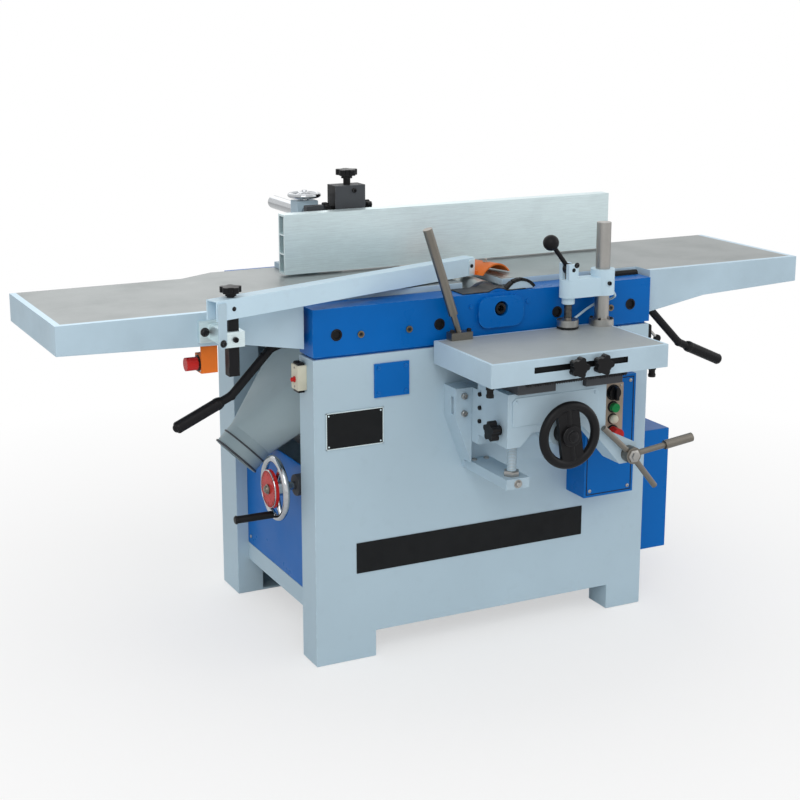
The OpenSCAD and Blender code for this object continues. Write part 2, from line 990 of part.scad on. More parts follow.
module cheek_bolts() {
  color("goldenrod") for (s = bolt_x_shares)
    rod_y(s * base_l / 2, body_z + bolt_rise, front_y - bolt_head, front_y, bolt_r);
  color("royalblue") for (side = [-1, 1])
    rod_y(
      cutter_x + side * (cap_w / 2 + cap_bolt_gap), body_z + body_h - bolt_rise + cap_bolt_gap,
      front_y - bolt_head, front_y, cap_bolt_r
    );
}

// Drive
module drive_cover() {
  x0 = cutter_x + drive_cover_shift - drive_cover_w / 2;
  y0 = rear_wall_y + pulley_gap / 2;
  color("royalblue") difference() {
    span([x0, y0, base_h], [x0 + drive_cover_w, back_y, drive_cover_top]);
    span(
      [x0 + sheet_t, y0 - over, base_h - over],
      [x0 + drive_cover_w - sheet_t, back_y - sheet_t, drive_cover_top - sheet_t]
    );
  }
}

module motor() {
  color("dimgray") difference() {
    union() {
      rod_y(motor_x, motor_z, motor_y, motor_y + motor_l, motor_r);
      rod_y(motor_x, motor_z, motor_y - motor_bell_l, motor_y + motor_l + motor_bell_l, motor_bell_r);
      span(
        [motor_x - motor_foot_w / 2, motor_y + motor_bell_l, rail_top + shelf_t],
        [motor_x + motor_foot_w / 2, motor_y + motor_l - motor_bell_l, motor_z - motor_bell_r]
      );
      span(
        [motor_x - terminal_w / 2, motor_y + motor_bell_l, motor_z],
        [motor_x + terminal_w / 2, motor_y + motor_bell_l + terminal_w, motor_z + motor_r + terminal_h]
      );
    }
    rod_y(
      motor_x, motor_z, motor_y + motor_l - motor_shaft_in,
      motor_y + motor_l + motor_bell_l + over, motor_shaft_r + run
    );
  }
}

module motor_pulley() {
  color("silver") {
    rod_y(
      motor_x, motor_z, motor_y + motor_l - motor_shaft_in + gap,
      pulley_y + pulley_w, motor_shaft_r
    );
    grooved_pulley(motor_x, motor_z, motor_pulley_r);
  }
}

// A pulley with raised edges on both sides of the belt
module grooved_pulley(x, z, r) {
  edge = (pulley_w - belt_w) / 2 - gap;
  rod_y(x, z, pulley_y, pulley_y + pulley_w, r);
  for (y = [pulley_y, pulley_y + pulley_w - edge]) rod_y(x, z, y, y + edge, r + belt_t / 2);
}

module drive_belt() {
  color("black") translate([0, pulley_y + (pulley_w - belt_w) / 2, 0]) along_y(belt_w) difference() {
    belt_loop(belt_t + gap);
    belt_loop(gap);
  }
}

module belt_loop(grow) {
  hull() {
    translate([cutter_x, cutter_z]) circle(pulley_r + grow);
    translate([motor_x, motor_z]) circle(motor_pulley_r + grow);
  }
}

module cutterblock() {
  block_y0 = inner_front;
  block_y1 = inner_back;
  color("silver") difference() {
    union() {
      rod_y(cutter_x, cutter_z, block_y0, block_y1, block_r);
      rod_y(cutter_x, cutter_z, front_seat_y, pulley_y + pulley_w, journal_r);
      rod_y(cutter_x, cutter_z, nose_y, front_seat_y + bearing_w, nose_r);
      grooved_pulley(cutter_x, cutter_z, pulley_r);
    }
    rod_y(cutter_x, cutter_z, nose_y - over, nose_y + tool_bore_l, tool_bore_r);
    for (i = [0 : knife_count - 1]) knife_place(i)
      translate([-gib_w, block_y0 - over, block_r - knife_depth])
        cube([gib_w + knife_t, block_y1 - block_y0 + 2 * over, knife_depth + over]);
  }
}

module knife_place(i) {
  translate([cutter_x, 0, cutter_z]) rotate([0, (i + 0.5) * 360 / knife_count, 0]) children();
}

module cutter_knives() {
  color("gainsboro") for (i = [0 : knife_count - 1]) knife_place(i) {
    translate([0, inner_front, block_r - knife_depth])
      cube([knife_t, inner_back - inner_front, knife_depth + knife_proud * knife_tip_share]);
    translate([-gib_w, inner_front, block_r - knife_depth])
      cube([gib_w, inner_back - inner_front, gib_depth]);
  }
}

module feed_roller(x) {
  color("gray") {
    rod_y(x, roller_z, inner_front, inner_back, roller_r);
    rod_y(
      x, roller_z, cheek_in_y - roller_pin_l + gap, rear_cheek_y + roller_pin_l - gap, roller_pin_r
    );
  }
}

module infeed_roller() {
  feed_roller(roller_xs[1]);
}

module outfeed_roller() {
  feed_roller(roller_xs[0]);
}

// Tables
// The outline of a table that reaches to the left, drawn in by i
function table_outline(reach, lip, i) = [
  [-reach + i, table_front_y + i],
  [left_x - body_gap_x - i, table_front_y + i],
  [left_x - body_gap_x - i, inner_front],
  [lip, inner_front],
  [lip, inner_back],
  [left_x - flare_in - i / 2, inner_back - i],
  [left_x - flare_out, table_back_y - i],
  [-reach + i, table_back_y - i]
];

function skirt_outline(reach) = [
  [-reach, table_h],
  [-reach, table_h - skirt_end],
  [left_x - body_gap_x - skirt_knee, table_h - skirt_end - skirt_knee_share * (skirt_root - skirt_end)],
  [left_x - body_gap_x, table_h - skirt_root],
  [left_x - body_gap_x, table_h]
];

// A table that reaches to the left from lip, with its skirt and its ribs
module planing_table(reach, lip) {
  translate([0, 0, table_h - deck_t]) linear_extrude(deck_t) polygon(table_outline(reach, lip, 0));
  intersection() {
    translate([0, table_front_y, 0]) along_y(inner_back - table_front_y) polygon(skirt_outline(reach));
    translate([0, 0, table_h - skirt_root]) difference() {
      linear_extrude(skirt_root - deck_t / 2) polygon(table_outline(reach, lip, 0));
      translate([0, 0, -over]) linear_extrude(skirt_root) difference() {
        polygon(table_outline(reach, lip, skirt_t));
        translate([left_x - body_gap_x - skirt_t, table_front_y])
          square([skirt_t, inner_front - table_front_y]);
      }
      translate([left_x - body_gap_x - skirt_t - over, inner_front, -over])
        cube([2 * skirt_t + over, inner_back - inner_front - skirt_t, skirt_root]);
    }
  }
  for (y = rib_mid_ys)
    span([-reach + skirt_t / 2, y - rib_t / 2, rib_low], [lip - rib_t, y + rib_t / 2, table_h - deck_t / 2]);
}

module outfeed_table() {
  color("lightsteelblue") planing_table(outfeed_reach, cutter_x - lip_gap);
}

module infeed_table() {
  color("lightsteelblue") mirror([1, 0, 0]) planing_table(infeed_reach, -cutter_x - lip_gap);
}

// An eccentric shaft with its lobes, thrown to the left
module eccentric_shaft(x) {
  rod_y(x, shaft_z, front_y + shaft_end, rear_wall_y - shaft_end, shaft_r);
  for (y = lobe_ys)
    rod_y(x - lobe_throw, shaft_z, y - lobe_w / 2, y + lobe_w / 2, lobe_r);
}

// A bent lever with its grip; side is -1 to the left and 1 to the right
module table_lever(x, side) {
  points = [for (s = lever_shares) [x + side * s[0] * lever_reach, shaft_z - s[1] * lever_fall]];
  last = len(points) - 1;
  way = (points[last] - points[last - 1]) / norm(points[last] - points[last - 1]);
  rod_y(x, shaft_z, lever_y - lever_hub_w / 2, lever_y + lever_hub_w / 2, lever_hub_r);
  for (i = [0 : last - 1]) {
    bar_xz(points[i], points[i + 1], lever_y, lever_r);
    translate([points[i + 1][0], lever_y, points[i + 1][1]]) sphere(elbow_r);
  }
  bar_xz(points[last] - way * grip_l, points[last], lever_y, grip_r);
}

module outfeed_lever() {
  color("black") {
    eccentric_shaft(shaft_xs[0]);
    table_lever(shaft_xs[0], -1);
  }
}

module outfeed_eccentric() {
  color("gray") eccentric_shaft(shaft_xs[1]);
}

module infeed_lever() {
  color("black") {
    eccentric_shaft(shaft_xs[3]);
    table_lever(shaft_xs[3], 1);
  }
}

module infeed_eccentric() {
  color("gray") eccentric_shaft(shaft_xs[2]);
}

// Thicknesser bed and lift
module thicknesser_bed() {
  bed_low = bed_top - bed_t;
  y0 = cheek_in_y + bed_gap;
  y1 = rear_cheek_y - bed_gap;
  color("silver") {
    span([bed_x - bed_l / 2, y0, bed_top - bed_deck_t], [bed_x + bed_l / 2, y1, bed_top]);
    difference() {
      span([bed_x - bed_l / 2, y0, bed_low], [bed_x + bed_l / 2, y1, bed_top - bed_deck_t]);
      for (s = [-1, 1]) {
        x0 = s < 0 ? bed_x - bed_l / 2 + bed_rib_t : bed_x + bed_pad_share * column_r;
        translate([x0, y0 + bed_rib_t, bed_low - over])
          cube([
            bed_l / 2 - bed_rib_t - bed_pad_share * column_r,
            y1 - y0 - 2 * bed_rib_t,
            bed_t - bed_deck_t + over
          ]);
      }
    }
    rod_z(bed_x, column_y, column_low, bed_top - bed_t - seam, column_r);
  }
}

module lift_gearbox() {
  tube_r = column_r + tube_t;
  foot_r = tube_r + tube_t;
  shaft_y = front_y + wheel_y;
  color("dimgray") {
    difference() {
      union() {
        rod_z(bed_x, column_y, rail_top, tube_top, tube_r);
        rod_z(bed_x, column_y, rail_top, rail_top + tube_foot_h, min(foot_r, beam_w / 2));
        span(
          [gear_x, shaft_y - gear_h / 2, gear_low],
          [gear_x + gear_w, column_y - column_r - tube_t / 2, gear_low + gear_h]
        );
      }
      rod_z(bed_x, column_y, rail_top - over, tube_top + gear_h, column_r + run);
      rod_x(shaft_y, wheel_z, gear_x - over, gear_x + gear_w + over, wheel_shaft_r + run);
    }
    difference() {
      union() {
        rod_x(
          shaft_y, wheel_z, left_x + rail_inset - bush_l + end_panel_t,
          left_x + rail_inset + end_panel_t, bush_r - sheet_t - seam
        );
        rod_x(
          shaft_y, wheel_z, left_x + rail_inset - bush_l + end_panel_t,
          left_x + rail_inset, bush_r
        );
      }
      rod_x(shaft_y, wheel_z, left_x - bush_l, left_x + rail_inset + bush_l, wheel_shaft_r + run);
    }
  }
}

module lift_handwheel() {
  shaft_y = front_y + wheel_y;
  crank_z = wheel_z - crank_share * wheel_r;
  color("silver") {
    translate([wheel_face_x, shaft_y, wheel_z]) rotate([0, -90, 0])
      spoked_wheel(wheel_r, wheel_rim_r, wheel_hub_r, wheel_hub_l, wheel_spoke_r, wheel_spokes);
    rod_x(shaft_y, wheel_z, wheel_face_x, gear_x + gear_w - wheel_rim_r, wheel_shaft_r);
  }
  color("black") {
    rod_x(shaft_y, crank_z, wheel_face_x - crank_l, wheel_face_x - wheel_rim_r, crank_r);
    rod_x(shaft_y, crank_z, wheel_face_x - wheel_rim_r, wheel_face_x, crank_r / 2);
  }
}

module lift_dial() {
  x1 = wheel_face_x - wheel_rim_r;
  color("firebrick") rod_x(front_y + wheel_y, wheel_z, x1 - dial_t, x1, dial_r);
}

// Dust hood
module collar_place() {
  translate([left_x - collar_out, mid_y + collar_back, collar_z]) rotate([0, -collar_turn, 0]) children();
}

// A solid funnel from the duct's end to the collar; extra makes it longer at both ends
module funnel(inset, extra) {
  x0 = left_x + hood_left;
  hull() {
    span(
      [x0 - 2 * funnel_t, mid_y - hood_w / 2 + inset, hood_floor + inset],
      [x0 - funnel_t + extra, mid_y + hood_w / 2 - inset, hood_top - hood_t - inset]
    );
    collar_place() translate([0, 0, -collar_l])
      cylinder(r = collar_r - inset, h = funnel_t + extra, $fn = 32);
  }
}

module dust_hood() {
  x0 = left_x + hood_left;
  x1 = mouth_x1 + hood_end;
  y0 = mid_y - hood_w / 2;
  y1 = mid_y + hood_w / 2;
  ceiling = hood_top - hood_t;
  color("silver") {
    difference() {
      union() {
        span([x0 - funnel_t + seam, y0, hood_floor], [x1, y1, ceiling + seam]);
        span([x0, y0 - flange_w, ceiling], [x1, y1 + flange_w, hood_top]);
      }
      span([x0 - hood_t - over, y0 + hood_t, hood_floor + hood_t], [x1 - hood_t, y1 - hood_t, ceiling]);
      span(
        [mouth_x0, y0 + hood_t, ceiling - over],
        [mouth_x1, y1 - hood_t, hood_top + over]
      );
    }
    difference() {
      funnel(0, 0);
      funnel(hood_t, over);
    }
    collar_place() translate([0, 0, funnel_t + seam - collar_l]) difference() {
      cylinder(r = collar_r, h = collar_l - funnel_t - seam);
      translate([0, 0, -over]) cylinder(r = collar_r - hood_t, h = collar_l + 2 * over);
    }
  }
}

// Fence
module fence_pedestal() {
  x0 = bar_x_at - pedestal_w / 2;
  color("lightsteelblue") difference() {
    union() {
      span([x0, pedestal_y, table_h], [x0 + pedestal_w, pedestal_y + pedestal_d, pedestal_top]);
      span(
        [bar_x_at - pedestal_foot_l / 2, pedestal_y - foot_front, table_h],
        [bar_x_at + pedestal_foot_l / 2, inner_back, table_h + pedestal_foot_t]
      );
    }
    rod_y(bar_x_at, bar_z, pedestal_y - over, pedestal_y + pedestal_d + over, bar_r + run);
    rod_z(bar_x_at, pedestal_y + pedestal_d / 2, bar_z, pedestal_top + over, lock_stem_r + run);
  }
}

module fence_bar() {
  color("silver") rod_y(bar_x_at, bar_z, carriage_y + carriage_t + bar_boss_d, carriage_y + bar_l, bar_r);
}

module fence_lock_wheel() {
  top = pedestal_top + lock_stem_h;
  color("silver") translate([bar_x_at, pedestal_y + pedestal_d / 2, top]) {
    spoked_wheel(lock_wheel_r, lock_rim_r, lock_hub_r, lock_rim_r, lock_rim_r, lock_spokes);
    translate([0, 0, bar_z + bar_r + gap - top])
      cylinder(r = lock_stem_r, h = top - bar_z - bar_r - gap);
  }
}

module hinge_eyes() {
  for (s = [-1, 1]) translate([tilt_x + s * hinge_offset, 0, 0]) children();
}

module fence_carriage() {
  y1 = carriage_y + carriage_t;
  room = hinge_eye_r + hinge_room;
  color("dimgray") {
    difference() {
      union() {
        span([carriage_left, carriage_y, carriage_low], [carriage_right, y1, hinge_z - room]);
        span(
          [bar_x_at - bar_r - bar_boss_t, y1 - over, carriage_low],
          [bar_x_at + bar_r + bar_boss_t, y1 + bar_boss_d, bar_z + bar_r + bar_boss_t]
        );
        span(
          [tilt_x - tilt_w / 2, y1 - over, carriage_low],
          [tilt_x + tilt_w / 2, y1 + tilt_d, hinge_z - room]
        );
        span(
          [tilt_x - tilt_w / 2, hinge_y + room, carriage_low],
          [tilt_x + tilt_w / 2, y1 + tilt_d, tilt_top]
        );
        hinge_eyes() {
          rod_x(hinge_y, hinge_z, -hinge_eye_w / 2, hinge_eye_w / 2, hinge_eye_r);
          span(
            [-hinge_eye_w / 2, hinge_y, hinge_z - room - over],
            [hinge_eye_w / 2, y1, hinge_z]
          );
        }
      }
      hinge_eyes() rod_x(hinge_y, hinge_z, -hinge_eye_w, hinge_eye_w, hinge_r + run);
      rod_z(tilt_x, y1 + tilt_d / 2, tilt_top - tilt_d, tilt_top + over, fence_stem_r + run);
    }
  }
  color("black") for (s = [-1, 1])
    translate([
      tilt_x + s * (tilt_w / 2 - seam), (hinge_y + room + y1 + tilt_d) / 2, tilt_top - side_knob_drop
    ]) rotate([0, s * 90, 0]) star_knob(side_knob_r, side_knob_l);
}

module fence_knob() {
  color("black") translate([tilt_x, carriage_y + carriage_t + tilt_d / 2, tilt_top + fence_stem_h])
    star_knob(fence_knob_r, fence_knob_h);
  color("silver") rod_z(
    tilt_x, carriage_y + carriage_t + tilt_d / 2,
    tilt_top - fence_stem_h, tilt_top + fence_stem_h, fence_stem_r
  );
}

// A hollow fence with two webs, and the pins that it tilts on
module fence_plate() {
  chamber = (fence_h - 2 * fence_wall - 2 * fence_web) / 3;
  color("lightgray") {
    translate([fence_left, fence_face_y, fence_low]) difference() {
      cube([fence_l, fence_t, fence_h]);
      for (i = [0 : 2])
        translate([-over, fence_wall, fence_wall + i * (chamber + fence_web)])
          cube([fence_l + 2 * over, fence_t - 2 * fence_wall, chamber]);
    }
    for (s = [-1, 1]) {
      eye_x = tilt_x + s * hinge_offset;
      inner_x = eye_x - s * (hinge_eye_w + hinge_eye_gap);
      rod_x(
        hinge_y, hinge_z,
        min(eye_x + s * hinge_eye_w / 2, inner_x - s * hinge_eye_w / 2),
        max(eye_x + s * hinge_eye_w / 2, inner_x - s * hinge_eye_w / 2),
        hinge_r
      );
      rod_x(hinge_y, hinge_z, inner_x - hinge_eye_w / 2, inner_x + hinge_eye_w / 2, hinge_eye_r);
      span(
        [inner_x - hinge_eye_w / 2, fence_back_y - seam, hinge_z - hinge_r],
        [inner_x + hinge_eye_w / 2, hinge_y, hinge_z + hinge_r]
      );
    }
  }
}

// Cutter guard
module guard_bracket() {
  hole = post_w / 2 + gap;
  arm_z0 = bracket_z + (bracket_h - bracket_arm_h) / 2;
  color("silver") difference() {
    union() {
      span(
        [post_x - bracket_w / 2, table_front_y - bracket_t, bracket_z],
        [post_x + bracket_w / 2, table_front_y, bracket_z + bracket_h]
      );
      span(
        [post_x - bracket_arm_w / 2, post_y - bracket_arm_w / 2, arm_z0],
        [post_x + bracket_arm_w / 2, table_front_y, arm_z0 + bracket_arm_h]
      );
    }
    span([post_x - hole, post_y - hole, bracket_z], [post_x + hole, post_y + hole, table_h]);
  }
}

module guard_post() {
  top = guard_low - gap;
  color("black") {
    span(
      [post_x - post_w / 2, post_y - post_w / 2, top - post_l],
      [post_x + post_w / 2, post_y + post_w / 2, top]
    );
    rod_z(post_x, post_y, top - pin_r, guard_low + guard_h + guard_wall, pin_r);
  }
}

module guard_place() {
  translate([post_x, post_y, guard_low]) rotate([0, 0, guard_angle]) children();
}

module guard_beam() {
  color("white") guard_place() difference() {
    union() {
      difference() {
        translate([-guard_tail, -guard_w / 2, 0]) cube([guard_l, guard_w, guard_h]);
        translate([-guard_tail - over, -guard_w / 2 + guard_wall, -over])
          cube([guard_l + 2 * over, guard_w - 2 * guard_wall, guard_h - guard_wall + over]);
      }
      translate([guard_l - guard_tail - guard_plate_t, -guard_w / 2, 0])
        cube([guard_plate_t, guard_w, guard_h]);
      translate([-guard_w / 2 + guard_wall, -guard_w / 2 + guard_wall / 2, 0])
        cube([guard_w - 2 * guard_wall, guard_w - guard_wall, guard_h]);
    }
    translate([0, 0, -over]) cylinder(r = pin_r + run, h = guard_h + 2 * over);
  }
}

module guard_knob() {
  color("black") translate([post_x, post_y, guard_low + guard_h + guard_wall + gap])
    star_knob(guard_knob_r, guard_knob_h);
}

// A curved hood over the cutterblock, bolted to the beam's end plate
module guard_hood() {
  drop = guard_hood_share * guard_hood_r;
  color("orangered") guard_place() translate([guard_l - guard_tail, 0, 0]) {
    intersection() {
      translate([guard_hood_r * guard_hood_reach_share, guard_hood_w / 2, -drop]) rotate([90, 0, 0])
        difference() {
          cylinder(r = guard_hood_r, h = guard_hood_w);
          translate([0, 0, -over])
            cylinder(r = guard_hood_r - guard_hood_t, h = guard_hood_w + 2 * over);
        }
      translate([0, -guard_hood_w / 2, 0]) cube([2 * guard_hood_r, guard_hood_w, guard_hood_r]);
    }
    translate([0, -guard_w / 2, 0]) cube([guard_foot_l, guard_w, guard_foot_h]);
  }
}

// Mortiser
function way_outline() = [
  [-way_half, way_top],
  [way_half, way_top],
  [way_half, way_top - way_taper_drop],
  [way_half - way_taper, way_low],
  [way_taper - way_half, way_low],
  [-way_half, way_top - way_taper_drop]
];

module mortiser_bracket() {
  color("lightgray") difference() {
    union() {
      difference() {
        translate([knee_x, front_y - way_plate_t - way_d, 0])
          along_y(way_plate_t + way_d) polygon(way_outline());
        span(
          [knee_x - way_half + way_w, front_y - way_plate_t - way_d - over, way_low - over],
          [knee_x + way_half - way_w, front_y - way_plate_t, way_top + over]
        );
      }
      span(
        [screw_x - arm_w / 2, screw_y - arm_w / 2, arm_low],
        [screw_x + arm_w / 2, front_y - way_plate_t + seam, arm_low + arm_h]
      );
      rod_z(screw_x, screw_y, arm_low, screw_top, screw_r);
    }
    translate([
      knee_x - way_half - over, front_y - way_plate_t - way_pocket_share * way_d, knee_top - 2 * way_w
    ]) cube([way_w / 2, way_d / 3, way_w]);
  }
}

// Two cheeks with an arch between them
function knee_outline() = [
  [-knee_w / 2, knee_top],
  [knee_w / 2, knee_top],
  [knee_w / 2, knee_top - knee_h],
  [knee_w / 2 - knee_cheek_w, knee_top - knee_h],
  [knee_w / 2 - knee_cheek_w - knee_arch_slope, knee_top - knee_h + knee_arch_rise],
  [knee_cheek_w + knee_arch_slope - knee_w / 2, knee_top - knee_h + knee_arch_rise],
  [knee_cheek_w - knee_w / 2, knee_top - knee_h],
  [-knee_w / 2, knee_top - knee_h]
];

// An arm on the knee's right cheek that carries the cross lever
function ear_outline() = [
  [knee_w / 2 - knee_cheek_w, knee_top - knee_h + ear_lap],
  [knee_w / 2, knee_top - knee_h + ear_lap],
  [ear_x - knee_x + ear_w / 2, ear_z + ear_h / 2],
  [ear_x - knee_x + ear_w / 2, ear_z - ear_h / 2],
  [ear_x - knee_x - ear_w / 2, ear_z - ear_h / 2]
];

module mortiser_knee() {
  tongue_half = way_half - way_w - tongue_gap;
  color("lightgray") difference() {
    union() {
      difference() {
        translate([knee_x, knee_y0, 0]) along_y(knee_d) polygon(knee_outline());
        span(
          [knee_x - knee_w / 2 + knee_wall, knee_y0 + knee_wall, knee_top - knee_h - over],
          [knee_x + knee_w / 2 - knee_wall, knee_y1 - knee_wall, knee_top - knee_wall]
        );
      }
      translate([knee_x, knee_y0, 0]) along_y(ear_d) polygon(ear_outline());
      span(
        [knee_x - tongue_half, knee_y1 - over, knee_top - tongue_h],
        [knee_x + tongue_half, front_y - way_plate_t - gap, way_top]
      );
      span(
        [mort_x - knee_key_w / 2, knee_y0, knee_top - over],
        [mort_x + knee_key_w / 2, knee_y1, knee_top + knee_key_h]
      );
      rod_y(height_x, height_z, knee_y0 - height_boss_l, knee_y0 + height_shaft_in, height_boss_r);
      rod_z(screw_x, screw_y, screw_top, knee_top - over, screw_r + knee_wall / 2);
    }
    rod_z(screw_x, screw_y, ear_z - ear_h, screw_top + screw_room, screw_r + screw_gap);
    rod_y(
      height_x, height_z, knee_y0 - height_boss_l - over, knee_y0 + height_shaft_in, height_shaft_r + run
    );
    rod_y(ear_x, ear_z, knee_y0 - over, knee_y0 + cross_shaft_in, cross_shaft_r + run);
  }
  color("black") translate([knee_x - knee_w / 2 + seam, knee_y0 + lock_knob_in, lock_knob_z])
    rotate([0, -90, 0]) star_knob(lock_knob_r, lock_knob_l);
}

module cross_slide() {
  color("gray") difference() {
    union() {
      translate([mort_x - saddle_l / 2, saddle_y1 - saddle_d, saddle_low])
        cube([saddle_l, saddle_d, saddle_t]);
      translate([mort_x - saddle_l / 2, mort_mid_y - key_w / 2, saddle_low + saddle_t - over])
        cube([saddle_l, key_w, key_h + over]);
    }
    translate([mort_x - knee_key_w / 2 - gap, saddle_y1 - saddle_d - over, saddle_low - over])
      cube([knee_key_w + 2 * gap, saddle_d + 2 * over, knee_key_h + gap + over]);
  }
}

module mortise_table() {
  slot_x0 = mort_x0 + mort_slot_left_share * mort_l;
  slot_x1 = mort_x0 + mort_slot_right_share * mort_l;
  slot_z = mort_top - mort_slot_drop;
  color("lightgray") difference() {
    union() {
      difference() {
        span([mort_x0, mort_y0, mort_low], [mort_x1, mort_y1, mort_top]);
        span(
          [mort_x0 + mort_wall, mort_y0 + mort_wall, mort_low - over],
          [mort_x1 - mort_wall, mort_y1 - mort_wall, mort_top - mort_deck]
        );
      }
      for (s = [-1, 1])
        translate([mort_x0, mort_mid_y + s * (key_w / 2 + gap + mort_wall / 2) - mort_wall / 2, mort_low])
          cube([mort_l, mort_wall, mort_h - mort_deck / 2]);
    }
    translate([mort_x0 + mort_wall, mort_mid_y - key_w / 2 - gap, mort_low - over])
      cube([mort_l - 2 * mort_wall, key_w + 2 * gap, key_h + gap + over]);
    span(
      [slot_x0, mort_y0 - over, slot_z - mort_slot_h / 2],
      [slot_x1, mort_y0 + mort_slot_d, slot_z + mort_slot_h / 2]
    );
  }
}

module stop_knobs() {
  slot_z = mort_top - mort_slot_drop;
  stem = mort_slot_h / 2 - gap;
  color("black") for (x = stop_knob_xs) {
    translate([mort_x + x, mort_y0 - gap, slot_z]) rotate([90, 0, 0]) star_knob(stop_knob_r, stop_knob_l);
    rod_y(mort_x + x, slot_z, mort_y0 - stop_knob_l / 4, mort_y0 + mort_slot_d - gap, stem);
  }
}

module push_rod() {
  x = mort_x0 + push_block_in + push_block_w / 2;
  y = mort_y1 - push_block_d / 2;
  color("dimgray") {
    translate([x - push_block_w / 2, mort_y1 - push_block_d, mort_top])
      cube([push_block_w, push_block_d, push_block_h]);
    translate([x, y, mort_top + push_block_h / 2]) rotate([0, -push_lean, 0]) {
      cylinder(r = push_neck_r, h = push_l);
      translate([0, 0, push_neck_share * push_l]) cylinder(r = push_r, h = push_l - push_neck_share * push_l);
    }
  }
}

module height_handwheel() {
  color("black") {
    translate([height_x, height_y, height_z]) rotate([90, 0, 0]) rotate(height_web_turn) {
      spoked_wheel(
        height_r, height_rim_r, height_hub_r, knee_y0 - height_boss_l - height_y - gap,
        height_spoke_r, height_spokes
      );
      translate([-height_web_w / 2, height_rim_r - height_r, -height_web_t / 2])
        cube([height_web_w, 2 * (height_r - height_rim_r), height_web_t]);
    }
    rod_y(height_x, height_z, height_y, knee_y0 + height_shaft_in - gap, height_shaft_r);
  }
}

module cross_lever() {
  color("dimgray") {
    rod_y(ear_x, ear_z, cross_y - cross_hub_l / 2, knee_y0 - gap, cross_hub_r);
    rod_y(ear_x, ear_z, cross_y, knee_y0 + cross_shaft_in - gap, cross_shaft_r);
    for (i = [0 : 2]) {
      l = i == 0 ? cross_l : cross_bar_l;
      translate([ear_x, cross_y, ear_z]) rotate([0, 90 - cross_turns[i], 0]) cylinder(r = cross_bar_r, h = l);
    }
  }
  color("black") translate([ear_x, cross_y, ear_z]) rotate([0, 90 - cross_turns[0], 0])
    translate([0, 0, cross_l - cross_grip_l]) cylinder(r = cross_grip_r, h = cross_grip_l);
}

module clamp_column() {
  color("silver") {
    rod_z(clamp_x, clamp_y, mort_top, mort_top + clamp_h, clamp_r);
    rod_z(clamp_x, clamp_y, mort_top, mort_top + clamp_foot_h, clamp_foot_r);
  }
}

module clamp_arm() {
  tip_x = clamp_x - clamp_reach;
  z1 = arm_z + arm_sleeve_h;
  cheek_t = (clamp_arm_w - cam_slot) / 2;
  color("white") difference() {
    union() {
      rod_z(clamp_x, clamp_y, arm_z, z1, arm_sleeve_r);
      span(
        [tip_x, clamp_y - clamp_arm_w / 2, arm_z],
        [clamp_x, clamp_y + clamp_arm_w / 2, arm_z + clamp_arm_h]
      );
      rod_z(tip_x, clamp_y, arm_z, arm_z + clamp_arm_h, clamp_arm_w / 2);
      for (s = [-1, 1])
        translate([
          tip_x - cam_r,
          clamp_y + s * (cam_slot + cheek_t) / 2 - cheek_t / 2,
          arm_z + clamp_arm_h - seam
        ])
          cube([2 * cam_r, cheek_t, cam_rise + cam_r]);
    }
    rod_z(clamp_x, clamp_y, arm_z - over, z1 + over, clamp_r + run);
    rod_z(tip_x, clamp_y, arm_z - over, arm_z + clamp_arm_h + over, spindle_r + run);
    rod_y(
      tip_x, arm_z + clamp_arm_h + cam_rise, clamp_y - clamp_arm_w, clamp_y + clamp_arm_w, cam_pin_r + run
    );
  }
}

module clamp_spindle() {
  tip_x = clamp_x - clamp_reach;
  color("gray") {
    rod_z(tip_x, clamp_y, mort_top + pad_gap, mort_top + pad_gap + pad_h, pad_r);
    rod_z(
      tip_x, clamp_y, mort_top + pad_gap + pad_h - seam,
      arm_z + clamp_arm_h + cam_rise - cam_r - gap, spindle_r
    );
  }
}

module clamp_cam() {
  tip_x = clamp_x - clamp_reach;
  pin_z = arm_z + clamp_arm_h + cam_rise;
  color("dimgray") {
    rod_y(tip_x, pin_z, clamp_y - cam_w / 2, clamp_y + cam_w / 2, cam_r);
    rod_y(tip_x, pin_z, clamp_y - clamp_arm_w / 2, clamp_y + clamp_arm_w / 2, cam_pin_r);
    translate([tip_x, clamp_y, pin_z]) rotate([0, cam_lean, 0]) {
      cylinder(r = cam_rod_r, h = cam_rod_l);
      translate([0, 0, cam_rod_l]) sphere(cam_ball_r);
    }
  }
}

// Switches
module control_box() {
  hole_depth = stem_in + over;
  color("royalblue") difference() {
    span([control_x, control_y, control_z], [control_x + control_w, front_y, control_z + control_h]);
    for (rise = [selector_rise, start_rise, stop_rise])
      rod_y(button_x, plate_z + rise, control_y - over, control_y + hole_depth, stem_r + gap);
  }
}

module switch_plate() {
  color("tan") difference() {
    span([plate_x, control_y - plate_t, plate_z], [plate_x + plate_w, control_y, plate_z + plate_h]);
    for (rise = [selector_rise, start_rise, stop_rise])
      rod_y(button_x, plate_z + rise, control_y - plate_t - over, control_y + over, stem_r + gap);
  }
  color("white")
    rod_y(button_x, plate_z + lamp_rise, control_y - plate_t - lamp_h, control_y - plate_t / 2, lamp_r);
}

// A button on a stem, with its head clear of the plate by its travel
module button(rise, r, h, away) {
  y1 = control_y - plate_t - away;
  rod_y(button_x, plate_z + rise, y1 - h, y1, r);
  rod_y(button_x, plate_z + rise, y1 - over, control_y + stem_in - button_gap, stem_r);
}

module selector_knob() {
  bar_share = 0.5;
  y1 = control_y - plate_t - gap;
  color("black") {
    button(selector_rise, selector_r, selector_h * bar_share, gap);
    translate([button_x - selector_r * bar_share / 2, y1 - selector_h, plate_z + selector_rise - selector_r])
      cube([selector_r * bar_share, selector_h, 2 * selector_r]);
  }
}

module start_button() {
  color("green") button(start_rise, start_r, start_h, button_gap);
}

module stop_button() {
  color("red") button(stop_rise, stop_r, stop_h, button_gap);
}

